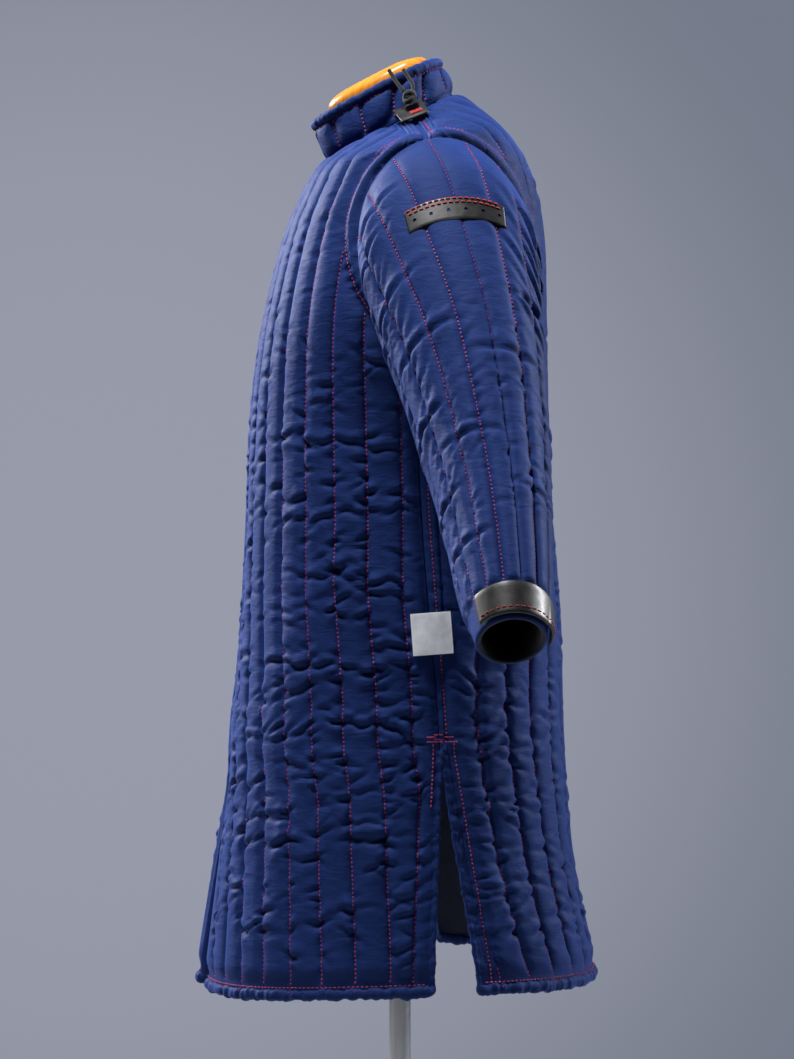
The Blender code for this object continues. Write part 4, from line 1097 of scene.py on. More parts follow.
    if sign < 0:
        full, fn, Bi = flipped(full), flipped(fn), flipped(Bi)
        if kind == "front":
            full, Bi = kick_forward(full), kick_forward(Bi)
    if kind == "back":
        pass
    flip = (sign < 0) != (kind == "back")
    b = Build()
    clip_grid(b, full, fn, fuv, ff, 0.009, flip=flip, mat=0)
    keep = (di[:-1, :-1] > 0) & (di[1:, 1:] > 0) & (di[:-1, 1:] > 0) & (di[1:, :-1] > 0)
    lining = Build()
    lining.grid(Bi, mat=0, flip=not flip, keep=keep)
    cell = np.linalg.norm(np.cross(B[1:, 1:] - B[:-1, :-1], B[1:, :-1] - B[:-1, 1:]), axis=2) / 2
    inside = (np.minimum(d_arm, np.where((rows_t >= 15.0)[:, None], d_seam, 1.0))[:-1, :-1] > 0)
    cut = (float((end - start).max()) + 0.004, float(run_v[-1].max()), float((cell * inside).sum()))
    # the neck edge turns down into the seam
    wall = np.stack([full[-1] - fn[-1] * k for k in (0.0, 0.003, 0.006)])
    b.grid(wall, fuv[-3:], flip=flip, mat=0)
    # seam allowances behind the side and shoulder seams
    if kind == "front":
        for t0, t1 in ((3.9, 11.2), (16.3, 20.95)):
            tt = np.linspace(t0, t1, 60)
            tab = cubic(RINGS, tt)
            strip = []
            for dy in (-0.009, 0.0, 0.009):
                aa = angle_at_y(tab, tab[:, 7] + dy)
                q, m = body_point(tt, aa), body_normal(tt, aa)
                strip.append(q - m * (0.0072 if t0 > 12 else 0.0090))
            strip = np.stack(strip, 1)
            b.grid(flipped(strip) if sign < 0 else strip, mat=0, flip=sign < 0)
    data = dict(P=full[:, off:off + P2.shape[1]], N=fn[:, off:off + P2.shape[1]], s=s2, d_arm=d_arm2, d_seam=d_seam2, B=B2,
                end=end2, start=start2, z=B2[..., 2], t=rows_t, raw=raw, sign=sign, lining=lining, cut=cut)
    return b, data


red = Stitches()          # body threads
red_back = Stitches()
red_sleeve = {1: Stitches(), -1: Stitches()}
heavy = Stitches()        # thick red threads on the leather
panels = {}


def cloth_cut(obj, width, length, area):
    """Works out a piece's flat width and length, rounded up to the millimetre, and its area where the cut is not a
    rectangle; the values are not kept.
    """
    width, length = math.ceil(width * 1000) / 1000, math.ceil(length * 1000) / 1000
    area = min(round(area, 4), width * length)


def panel_lines(st, data, kind):
    P, N, dA, dS = data["P"], data["N"], data["d_arm"], data["d_seam"]
    count = data["raw"].shape[1]
    for k in range(count):
        col = (k + 1) * 16
        here = data["raw"][:, k]
        good = (dA[:, col] > LIP + 0.0035) & (here > data["start"] + 0.007) & (here < data["end"] - (np.where(data["t"] < 13.0, 0.0100, 0.0210) if kind == "front" else 0.0190))
        good[:2] = False
        good[-4:] = False
        rows = np.flatnonzero(good)
        if len(rows) < 4:
            continue
        for part in np.split(rows, np.flatnonzero(np.diff(rows) > 1) + 1):
            if len(part) > 3:
                st.run(P[part, col], N[part, col], start=0.3 + 0.1 * (k % 4))
    if kind == "back" and data["sign"] > 0:
        st.run(P[9:-4, 0], N[9:-4, 0])

    def at_distance(dist, keep):
        path, nrm = [], []
        for i in np.flatnonzero(keep):
            x = data["end"][i] - dist
            if x <= data["s"][i, 0] or x >= data["s"][i, -1]:
                continue
            path.append([np.interp(x, data["s"][i], P[i, :, a]) for a in range(3)])
            nrm.append([np.interp(x, data["s"][i], N[i, :, a]) for a in range(3)])
        return np.array(path), np.array(nrm)

    z_side = data["z"][:, -1]
    # stitching of the slit edge
    if kind == "back":
        path, nrm = at_distance(0.0155 - EDGE_ROLL, z_side < SIDE_SLIT_TOP)
    else:
        path, nrm = at_distance(0.0052, (z_side < SIDE_SLIT_TOP) & (z_side > SIDE_SLIT_TOP - 0.075))
    st.run(path, nrm)
    if kind == "back":
        low = (z_side >= SIDE_SLIT_TOP) & (z_side < 1.19) & (data["t"] < 14)
        path, nrm = at_distance(SEAM_STITCH, low)
        st.run(path, nrm)
        path, nrm = at_distance(SEAM_STITCH, (data["t"] > 16.0) & (data["t"] < 20.9))
        good = armhole_distance(path) > 0.003
        st.run(path[good], nrm[good])
    # hem stitching, a few millimetres above the binding
    st.run(P[1, 2:-2], N[1, 2:-2], pitch=0.0052, lift=0.0008)


def arm_stitches(st, data, sign, kind):
    """Stitching round the armhole, on the padded lip's outer edge."""
    P, N, B = data["P"], data["N"], data["B"]
    dA, dS = data["d_arm"], data["d_seam"]
    sel = (np.abs(dA - LIP) < 0.006) & (dS > -0.004)
    pts, src, nr = B[sel], P[sel], N[sel]
    a = np.arctan2((pts[:, 1] - ARM_Y) / ARM_HALF_Y, (pts[:, 2] - ARM_Z) / ARM_HALF_Z)
    goal = np.linspace(-np.pi, np.pi, 420)
    near = []
    for g in goal:
        diff = np.abs(np.angle(np.exp(1j * (a - g))))
        w = np.exp(-((diff / 0.020) ** 2)) * np.exp(-(((dA[sel] - LIP) / 0.0016) ** 2))
        if w.sum() < 0.05:
            near.append(None)
        else:
            near.append(((src * w[:, None]).sum(0) / w.sum(), (nr * w[:, None]).sum(0) / w.sum()))
    run_p, run_n = [], []
    for item in near + [None]:
        if item is None:
            if len(run_p) > 6:
                st.run(np.array(run_p), np.array(run_n), lift=0.0006)
            run_p, run_n = [], []
        else:
            run_p.append(item[0])
            run_n.append(item[1])


for kind, sign, seed, mats, pieces in (
        ("front", 1, 11, [CLOTH], "front_left"), ("front", -1, 12, [CLOTH], "front_right"),
        ("back", 1, 13, [CLOTH_BACK], "back_left_half"), ("back", -1, 14, [CLOTH_BACK], "back_right_half")):
    b, data = make_panel(kind, sign, seed)
    obj = b.mesh("quilted_" + pieces, mats)
    panels[(kind, sign)] = (obj, data)
    st = red if kind == "front" else red_back
    panel_lines(st, data, kind)
    arm_stitches(st, data, sign, kind)
    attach(obj, "root")
    if kind == "front":
        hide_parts(pieces)
    width, length, area = data["cut"]
    cloth_cut(obj, width, length, area)
    inner = data["lining"].mesh("lining_" + pieces, [LINING])
    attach(inner, "root")
    cloth_cut(inner, width, length, area)
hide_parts("back")


# =====================================================================
# Sleeves
# =====================================================================
SLEEVE_CELLS = (0.0, 0.05, 0.18, 0.34, 0.5, 0.66, 0.82, 0.95)
FOLDS_SLEEVE = [
    # turn   station length_deg depth  slope(stations per 100 deg)
    (-70, 0.75, 70, 0.0050, 0.5),
    (-85, 1.10, 60, 0.0040, 0.5),
    (75, 0.90, 60, 0.0045, -0.5),
    (100, 1.60, 70, 0.0045, -0.4),
    (-75, 2.10, 80, 0.0040, 0.3),
    (60, 2.55, 70, 0.0040, -0.3),
    (-50, 3.00, 80, 0.0045, 0.25),
    (20, 3.45, 90, 0.0030, -0.1),
    (-80, 3.80, 80, 0.0045, 0.2),
    (90, 4.00, 80, 0.0040, -0.2),
    (-30, 4.40, 70, 0.0035, 0.2),
    (-85, 4.90, 80, 0.0040, 0.1),
    (50, 5.10, 70, 0.0035, -0.1),
    (-60, 5.70, 90, 0.0035, 0.1),
    (170, 1.2, 110, 0.0050, 0.0),
    (185, 2.3, 120, 0.0050, 0.1),
    (175, 3.6, 120, 0.0045, -0.1),
    (190, 4.9, 110, 0.0040, 0.1),
]


def sleeve_rows():
    dense = np.linspace(-0.08, 7.0, 1400)
    p, _ = sleeve_point(dense, np.full(dense.shape, 0.0))
    q, _ = sleeve_point(dense, np.full(dense.shape, 180.0))
    step = (np.linalg.norm(np.diff(p, axis=0), axis=1) * 0.6 + np.linalg.norm(np.diff(q, axis=0), axis=1) * 0.4)
    run = np.concatenate([[0], np.cumsum(step)])
    count = int(run[-1] / 0.0026) + 1
    return np.interp(np.linspace(0, run[-1], count), run, dense)


def sleeve_puckers(rng, around, run_v, lines):
    out = np.zeros_like(around)
    R, C = around.shape
    total = around[0, -1] + (around[0, 1] - around[0, 0])
    for line in lines:
        for side in (-1, 1):
            for v0 in np.sort(rng.uniform(0.04, float(run_v[-1].mean()) - 0.05, 30)):
                length = 0.017 * rng.uniform(0.5, 1.5)
                deep = 0.0018 * rng.uniform(0.35, 1.25) * (1.0 if rng.random() < 0.75 else 1.6)
                tilt, width = rng.normal(0.0, 0.35), rng.uniform(0.65, 1.35)
                col = int(np.argmin(np.abs(around[0] - line)))
                i = int(np.clip(np.searchsorted(run_v[:, col], v0), 0, R - 1))
                i0, i1 = max(0, i - 12), min(R, i + 13)
                cols = (np.arange(col - 10, col + 11)) % C
                ds = (np.arange(-10, 11) * total / C)[None] * side
                dz = v0 - run_v[i0:i1][:, cols] - tilt * ds - 0.0012 * np.sin(ds * 160 + v0 * 300)
                w = smooth((ds + 0.003) / 0.005) * smooth(1.15 - ds / length)
                out[i0:i1, cols] += deep * w * crease_shape(dz, width)
    return out


def make_sleeve(sign, seed):
    rng = np.random.default_rng(seed)
    v = sleeve_rows()
    frac = np.concatenate([(k + np.array(SLEEVE_CELLS)) / SLEEVE_CHANNELS for k in range(SLEEVE_CHANNELS)])
    first = cubic(SLEEVE, v)[:, 6]
    turn = first[:, None] + 360.0 * frac[None]
    V = np.repeat(v[:, None], len(frac), 1)
    B, N = sleeve_point(V, turn)
    R, C = V.shape
    x = (frac * SLEEVE_CHANNELS) % 1.0
    puff = np.broadcast_to((1 - np.abs(2 * x - 1) ** 3.0) ** 0.70, (R, C))
    outer_side = smooth((np.cos(np.radians(turn - 5)) + 0.1) / 0.9) * smooth((4.2 - V) / 2.2)
    valley = 0.0046 - 0.0026 * outer_side
    target = -valley + (valley + 0.0008) * puff
    run_v = np.concatenate([np.zeros((1, C)), np.cumsum(np.linalg.norm(np.diff(B, axis=0), axis=2), 0)])
    d_head, d_end = run_v, run_v[-1:] - run_v
    folds = np.zeros((R, C))
    ease = np.zeros((R, C))
    table = FOLDS_SLEEVE if sign > 0 else [(a + 9 * math.sin(7 * b), b + 0.12 * math.cos(a), l, d, -e) for a, b, l, d, e in FOLDS_SLEEVE]
    for a0, v0, length, depth, slope in table:
        da = (turn - a0 + 180) % 360 - 180
        window = smooth(1.25 - np.abs(da) / (length / 2))
        dz = (V - v0 - slope * da / 100) * 0.088
        folds += depth * crease_shape(-dz) * window
        ease += window * np.exp(-((dz / 0.02) ** 2)) * depth / 0.006
    live = smooth(d_head / 0.05) * smooth(d_end / 0.03)
    girth = np.linalg.norm(np.roll(B, -1, 1) - B, axis=2).sum(1, keepdims=True)
    around = np.broadcast_to(frac[None] * girth.mean(), (R, C))
    lines = [float(k / SLEEVE_CHANNELS * girth.mean()) for k in range(SLEEVE_CHANNELS)]
    puckers = sleeve_puckers(rng, around, run_v, lines)
    extra = folds * (0.7 + 0.3 * puff) * live + puckers * live * (1 - 0.75 * outer_side)
    # flat under the lacing strip
    under = smooth((0.42 - np.abs(V - 1.70)) / 0.14) * smooth((46 - np.abs(turn - 0.0 + 3.5)) / 8.0)
    target = target * (1 - under) + under * np.maximum(-0.0016, np.minimum(target, 0.0002))
    # the head turns in under the body's edge, the wrist is bound
    head = smooth((d_head - 0.006) / 0.020)
    target = np.where(d_head < 0.006, -0.0008, -0.0008 + (target + 0.0008) * head)
    under_cuff = smooth((V - CUFF_SPAN[0] + 0.10) / 0.08)
    target = target * (1 - under_cuff) + (-0.0020) * under_cuff
    extra = extra * (1 - under_cuff) * (1 - under) * smooth((d_head - 0.004) / 0.02)
    pinned = np.zeros((R, C), bool)
    pinned[:, ::8] = True
    pinned[:2] = True
    pinned |= d_head < 0.007
    pinned[-3:] = True
    pinned |= V > CUFF_SPAN[0]
    noise = soft_noise(rng, R, C, 9.0, 8.0, True)
    noise2 = soft_noise(rng, R, C, 26.0, 14.0, True)
    top = np.clip(np.cos(np.radians(turn - 5)), 0, 1)          # the outer side hangs smooth
    ease_v = np.clip(0.016 + 0.012 * noise + 0.010 * noise2, 0.0, 0.06)
    ease_v = ease_v * (1.0 - 0.80 * top * smooth((4.2 - V) / 1.5)) + 0.045 * np.clip(ease, 0, 1.2)
    seeds = soft_noise(rng, R, C, 5.0, 6.0, True) * 0.0010 + soft_noise(rng, R, C, 8.5, 12.0, True) * 0.0007
    P = B + N * target[..., None]
    base_v = np.linalg.norm(np.diff(B, axis=0), axis=2)
    rest_v = base_v * (1 + (ease_v[1:] + ease_v[:-1]) / 2)
    rest_v = np.concatenate([rest_v, rest_v[:, :1]], 1)
    rest_h = np.linalg.norm(np.roll(P, -1, 1) - P, axis=2) * 1.015
    start_p = P + N * (seeds * puff * live)[..., None] * (~pinned)[..., None]
    P = relax(start_p, B, N, target, pinned, rest_h, rest_v, 80, wrap=True, soft=0.09)
    h = ((P - B) * N).sum(-1)
    P = P + N * (np.clip(h, -0.0085, 0.0065) - h)[..., None]
    P = P + N * extra[..., None]
    P2, N2, B2 = twice(P, 1, True), unit(twice(N, 1, True)), twice(B, 1, True)
    t2, V2 = turn, v
    uv = np.stack([np.broadcast_to(np.arange(P2.shape[1])[None] * 0.0023, P2.shape[:2]),
                   np.repeat(np.concatenate([[0], np.cumsum(np.linalg.norm(np.diff(B2[:, 0], axis=0), axis=1))])[:, None], P2.shape[1], 1)], -1)
    # wrist rim: a bound roll that turns in, then the lining up the inside
    E, n, O = P2[-1], N2[-1], unit(P2[-1] - P2[-3])
    rim = []
    for q in range(1, 8):
        a = np.pi * q / 7
        rim.append(E + O * 0.0032 * np.sin(a) - n * 0.0030 * (1 - np.cos(a)))
    rim = np.array(rim)
    inner = (B2 - N2 * (SLEEVE_WALL - 0.001))[::-1][2::6, :]
    outer = np.concatenate([P2, rim[:3]])
    inner = np.concatenate([rim[3:], inner])
    if sign < 0:
        outer, inner = flipped(outer), flipped(inner)
    b = Build()
    uv_all = np.concatenate([uv, np.repeat(uv[-1:], 3, 0)])
    b.grid(outer, uv_all, wrap=True, flip=sign < 0, mat=0)
    # the sleeve takes the lighter copy of the navy cloth, which paints in extra light
    obj = b.mesh("quilted_sleeve_" + ("left" if sign > 0 else "right"), [SLEEVE_CLOTH_PAINTED_LIGHTER])
    tube = Build()
    tube.grid(np.concatenate([outer[-1:], inner]), wrap=True, flip=sign < 0, mat=0)
    lining = tube.mesh("lining_sleeve_" + ("left" if sign > 0 else "right"), [LINING])
    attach(lining, "root")
    girths = np.linalg.norm(np.roll(B, -1, 1) - B, axis=2).sum(1)
    girth, long_v, steps_v = float(girths.max()), float(run_v[-1].max()), np.diff(run_v.mean(1))
    area = float((steps_v * (girths[1:] + girths[:-1]) / 2).sum())
    cloth_cut(obj, girth, long_v, area)
    cloth_cut(lining, girth, long_v, area * 0.93)
    Ps, Ns = (P2, N2) if sign > 0 else (flipped(P2), flipped(N2))
    good = np.flatnonzero((V2 > 0.10) & (V2 < CUFF_SPAN[0] - 0.02))
    for k in range(SLEEVE_CHANNELS):
        # the lacing strip hides a stretch of the lines that it crosses
        col = k * 16
        red_sleeve[sign].run(Ps[good, col], Ns[good, col], start=0.3 + 0.1 * (k % 5))
    return obj, dict(P=Ps, N=Ns, V=V2, turn=t2)


sleeves = {}
for sign, side in ((1, "left"), (-1, "right")):
    obj, data = make_sleeve(sign, 21 if sign > 0 else 22)
    sleeves[sign] = (obj, data)
    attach(obj, "root")
    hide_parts("sleeve_" + side)


# =====================================================================
# Hem bindings: rolled strips, gathered across
# =====================================================================
def gathered_roll(b, path, out, up, half_w, half_h, rng, mat=0, ring=18, amp=0.0007, tuck=None, thin=None):
    """A padded roll round a path; out and up are the roll's own directions."""
    run = np.concatenate([[0], np.cumsum(np.linalg.norm(np.diff(path, axis=0), axis=1))])
    n = max(8, int(run[-1] / 0.0016))
    x = np.linspace(0, run[-1], n)
    at = lambda v: np.stack([np.interp(x, run, v[:, k]) for k in range(3)], -1)
    C, O, U = at(path), unit(at(out)), unit(at(up))
    a = np.linspace(0, 2 * np.pi, ring, endpoint=False)
    co, si = np.cos(a), np.sin(a)
    shape_o = np.sign(co) * np.abs(co) ** 0.85 * half_w
    shape_u = np.sign(si) * np.abs(si) ** 0.85 * half_h
    g = soft_noise(rng, n, ring, 2.2, 7.0, True) * 0.6 + soft_noise(rng, n, ring, 4.5, 5.0, True) * 0.5
    lumps = soft_noise(rng, n, 8, 14.0, 9.0)[:, :1]
    scale = 1 + (g * amp) / half_w + lumps * 0.035
    if tuck is not None:
        scale = scale * (1 - 0.14 * np.exp(-((np.min(np.abs(x[:, None] - tuck[None]), 1) / 0.0016) ** 2)))[:, None]
    ends = np.sqrt(np.clip(np.minimum(x, run[-1] - x) / half_h, 0.0, 1.0) * (2 - np.clip(np.minimum(x, run[-1] - x) / half_h, 0.0, 1.0)))
    scale = scale * (0.25 + 0.75 * ends)[:, None]
    if thin is not None:
        scale = scale * np.interp(x, run, thin)[:, None]
    P = C[:, None] + O[:, None] * (shape_o * scale)[..., None] + U[:, None] * (shape_u * scale)[..., None]
    uv = np.stack(np.broadcast_arrays(x[:, None], a[None] * half_w), -1)
    idx = b.grid(P, uv, wrap=True, mat=mat)
    for row, first in ((0, True), (-1, False)):
        c = b.add_points(P[row].mean(0)[None])
        r = idx[row, :-1]
        tri = np.stack([r, np.roll(r, -1), np.full(len(r), c)], -1)
        b.add_faces(tri[:, ::-1] if first else tri, mat)
    return P, x


def slit_turn(data, sign):
    """The roll's way round the panel's lower corner and up the slit's edge, thinner there."""
    P, N = data["P"], data["N"]
    rows = np.flatnonzero((data["z"][:, -1] < SIDE_SLIT_TOP - 0.003))
    E, n = P[:, -1], unit(N[:, -1])
    side = unit(E - P[:, -3])
    side = unit(side - (side * n).sum(-1, keepdims=True) * n)
    corner, o, nn = E[0], side[0], n[0]
    pts, outs, ups, thin = [], [], [], []
    for k in range(1, 8):
        a = np.radians(-90 + 90 * k / 7)
        r = 0.0054 + (0.0040 - 0.0054) * k / 7
        pts.append(corner + o * r * np.cos(a) + np.array([0, 0, 1.0]) * r * np.sin(a) - nn * 0.0026)
        outs.append(nn)
        ups.append(-o * np.cos(a) - np.array([0, 0, 1.0]) * np.sin(a))
        thin.append(1.0 - 0.55 * k / 7)
    for i in rows[2::2]:
        pts.append(E[i] + side[i] * 0.0036 - n[i] * 0.0024)
        outs.append(n[i])
        ups.append(-side[i])
        thin.append(0.45)
    return np.array(pts), np.array(outs), np.array(ups), np.array(thin)


def hem_binding(name, node, path, out, seed, tucks, up=None, thin=None):
    rng = np.random.default_rng(seed)
    up = np.tile([0.0, 0.0, 1.0], (len(path), 1)) if up is None else up
    b = Build()
    gathered_roll(b, path, out, up, 0.0070, 0.0066, rng, tuck=np.array(tucks), amp=0.0010, thin=thin)
    obj = b.mesh(name, [BINDING])
    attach(obj, "root")
    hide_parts(node)
    return obj


def hem_path(data, sign):
    P, N = data["P"][0], data["N"][0]
    out = N.copy()
    out[:, 2] = 0
    out = unit(out)
    mid = P - out * 0.0030
    mid[:, 2] -= 0.0054
    return mid, out


for sign, side in ((1, "left"), (-1, "right")):
    data = panels[("front", sign)][1]
    mid, out = hem_path(data, sign)
    turn_p, turn_o, turn_u, turn_t = slit_turn(data, sign)
    a = unit(mid[0] - mid[2])
    hem_n = len(mid) + 1
    mid = np.concatenate([[mid[0] + a * 0.0050], mid, turn_p])
    out = np.concatenate([out[:1], out, turn_o])
    up = np.concatenate([np.tile([0.0, 0.0, 1.0], (hem_n, 1)), turn_u])
    thin = np.concatenate([np.ones(hem_n), turn_t])
    hem_binding("bound_hem_front_" + side, "hem_binding_front_" + side, mid, out, 31 + sign, [0.04 * k + 0.006 for k in range(0, 9)], up, thin)

for data in (panels[("front", 1)][1], panels[("front", -1)][1], panels[("back", 1)][1], panels[("back", -1)][1]):
    mid, out = hem_path(data, data["sign"])
    for col in range(16, data["P"].shape[1] - 8, 16):
        if data["raw"][0, col // 16 - 1] < data["start"][0] + 0.006:
            continue
        a = np.radians(np.linspace(74, 8, 9))[:, None]
        spread = out[col][None] * np.cos(a) * 0.0070 + np.array([[0.0, 0.0, 1.0]]) * np.sin(a) * 0.0066
        red.run(mid[col][None] + spread, unit(spread), pitch=0.0034, length=0.0029, radius=0.0006, lift=0.0002)

left_mid, left_out = hem_path(panels[("back", 1)][1], 1)
right_mid, right_out = hem_path(panels[("back", -1)][1], -1)
mid = np.concatenate([left_mid[::-1], right_mid[1:]])
out = np.concatenate([left_out[::-1], right_out[1:]])
lt, rt = slit_turn(panels[("back", 1)][1], 1), slit_turn(panels[("back", -1)][1], -1)
hem_n = len(mid)
mid = np.concatenate([lt[0][::-1], mid, rt[0]])
out = np.concatenate([lt[1][::-1], out, rt[1]])
up = np.concatenate([lt[2][::-1], np.tile([0.0, 0.0, 1.0], (hem_n, 1)), rt[2]])
thin = np.concatenate([lt[3][::-1], np.ones(hem_n), rt[3]])
hem_binding("bound_hem_back", "hem_binding_back", mid, out, 35, [0.012 + 0.04 * k for k in range(0, 30)], up, thin)


# =====================================================================
# Collar
# =====================================================================
def make_collar():
    rng = np.random.default_rng(41)
    axis_c = collar_axis()
    half_cells = np.concatenate([k + np.array(CELLS) for k in range(12)] + [[12.0]])
    # arc length round the ring at mid height
    angles = np.linspace(0, 2 * np.pi, 1441)
    rows = cubic(COLLAR, np.full(1441, 1.0))
    pts = oval(rows, angles)
    run = np.concatenate([[0], np.cumsum(np.linalg.norm(np.diff(pts, axis=0), axis=1))])
    total = run[-1]
    edge = 0.0045
    s = edge + half_cells / 12.0 * (total - 2 * edge)
    ang = np.interp(s, run, angles)
    level = np.linspace(0.0, 2.0, 13)
    L, A = np.meshgrid(level, ang, indexing="ij")
    B, N = collar_point(L, A)
    x = half_cells % 1.0
    x[-1] = 0.0
    puff = np.broadcast_to((1 - np.abs(2 * x - 1) ** 2.3) ** 0.62, B.shape[:2])
    target = -0.0042 + 0.0046 * puff
    target[:, 0] = target[:, -1] = -0.0030
    up = L / 2.0
    target = -0.0040 + (target + 0.0040) * np.clip(np.minimum(up, 1 - up) / 0.22, 0, 1) ** 0.6
    # a slack collar: broad hollows between the stitch lines
    hollow = soft_noise(rng, 13, len(ang), 5.0, 9.0)
    target = target + 0.0016 * hollow * np.sin(np.pi * up) * 0.8
    pinned = np.zeros(B.shape[:2], bool)
    pinned[:, ::8] = True
    pinned[0] = pinned[-1] = True
    P = B + N * target[..., None]
    rv = np.linalg.norm(np.diff(B, axis=0), axis=2) * (1.035 + 0.02 * soft_noise(rng, 12, len(ang), 3, 8))
    rh = np.linalg.norm(np.diff(P, axis=1), axis=2) * 1.02
    P = relax(P + N * (soft_noise(rng, 13, len(ang), 2.5, 6) * 0.0008 * puff)[..., None] * (~pinned)[..., None], B, N, target, pinned, rh, rv, 90)
    h = ((P - B) * N).sum(-1)
    P = P + N * (np.clip(h, -0.0065, 0.0035) - h)[..., None]
    P2, N2 = twice(twice(P, 0), 1), unit(twice(twice(N, 0), 1))
    B2 = twice(twice(B, 0), 1)
    # front edges turn in round to the collar's inner face, which is one plain sheet
    rolls = []
    for col, other in ((0, 2), (-1, -3)):
        E, n = P2[:, col], N2[:, col]
        O = unit(E - P2[:, other])
        r = []
        for q in range(1, 9):
            a = np.pi * q / 8
            r.append(E + O * 0.0036 * np.sin(a) - n * 0.0030 * (1 - np.cos(a)))
        rolls.append(np.stack(r, 1))
    inner = (B2 - N2 * (COLLAR_WALL - 0.0012))[:, ::4]
    closed = np.concatenate([rolls[0][:, ::-1], P2, rolls[1], inner[:, ::-1]], 1)
    inward = np.concatenate([-N2[:, :1].repeat(8, 1) * 0.5, -N2, -N2[:, -1:].repeat(8, 1) * 0.5, N2[:, ::4][:, ::-1] * 0.9], 1)
    closed = np.concatenate([closed[:1] + inward[:1] * 0.0040 - axis_c * 0.0082, closed[:1] - axis_c * 0.0076, closed[:1] - axis_c * 0.0030, closed, closed[-1:] + inward[-1:] * 0.0040 + axis_c * 0.0006])
    uv = np.stack([np.broadcast_to(np.arange(closed.shape[1])[None] * 0.0025, closed.shape[:2]),
                   np.broadcast_to(np.arange(closed.shape[0])[:, None] * 0.002, closed.shape[:2])], -1)
    b = Build()
    idx = b.grid(closed, uv, wrap=True, mat=0)
    obj = b.mesh("quilted_collar", [CLOTH])
    for k in range(1, 12):
        col = k * 16
        red.run(P2[2:-2, col], N2[2:-2, col], start=0.4)
    red.run(P2[-3, 4:-4], N2[-3, 4:-4], lift=0.0005)
    return obj, P2, N2


collar_obj, collar_P, collar_N = make_collar()
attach(collar_obj, "root")
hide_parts("collar")

axis = collar_axis()
top_p, top_n = collar_P[-1], collar_N[-1]
path = top_p - top_n * 0.0012 + axis * 0.0050
b = Build()
tucks = np.arange(0.02, 0.48, 0.04)
gathered_roll(b, path, top_n, np.tile(axis, (len(path), 1)), 0.0060, 0.0056, np.random.default_rng(43), amp=0.0005, tuck=tucks)
obj = b.mesh("bound_collar_edge", [BINDING])
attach(obj, "root")
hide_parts("collar_binding")


# =====================================================================
# Leather
# =====================================================================
def slab(name, node, P_in, N, thick, mats, holes=None, bevel=0.0006):
    """A leather piece between a grid of points and the same grid moved out, with eased edges."""
    rows, cols = P_in.shape[:2]
    P_out = P_in + N * thick
    # ease the outer face's rim
    ease = np.zeros((rows, cols))
    for r in (0, rows - 1):
        ease[r] = 1
    for c in (0, cols - 1):
        ease[:, c] = 1
    b = Build()
    centre = P_out.mean((0, 1))
    out_soft = P_out.copy()
    out_soft -= N * (ease * bevel)[..., None]
    uv = np.stack(np.meshgrid(np.arange(cols) * 0.002, np.arange(rows) * 0.002), -1)
    if holes is None:
        top = b.grid(out_soft, uv)
        low = b.grid(P_in, uv, flip=True)
    else:
        clip_grid(b, out_soft, N, uv, holes, thick)
        clip_grid(b, P_in, N, uv, holes, 0.0, flip=True)
        top = low = None
    edge_t = np.concatenate([out_soft[0, :], out_soft[1:, -1], out_soft[-1, -2::-1], out_soft[-2:0:-1, 0]])
    edge_b = np.concatenate([P_in[0, :], P_in[1:, -1], P_in[-1, -2::-1], P_in[-2:0:-1, 0]])
    nn = np.concatenate([N[0, :], N[1:, -1], N[-1, -2::-1], N[-2:0:-1, 0]])
    mid_t = edge_t - nn * bevel
    away = unit(mid_t - centre)
    away = unit(away - (away * nn).sum(-1, keepdims=True) * nn)
    mid_t = mid_t + away * bevel
    mid_b = edge_b + away * bevel
    b.grid(np.stack([edge_b, mid_b, mid_t, edge_t]), wrap=True)
    obj = b.mesh(name, mats, 50)
    across = float(np.linalg.norm(np.diff(P_in, axis=0), axis=2).sum(0).max())
    along = float(np.linalg.norm(np.diff(P_in, axis=1), axis=2).sum(1).max())
    cell = np.linalg.norm(np.cross(P_in[1:, 1:] - P_in[:-1, :-1], P_in[1:, :-1] - P_in[:-1, 1:]), axis=2) / 2
    cloth_cut(obj, max(across, 0.0101), max(along, 0.0101), float(cell.sum()))
    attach(obj, "root")
    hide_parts(node)
    return P_out


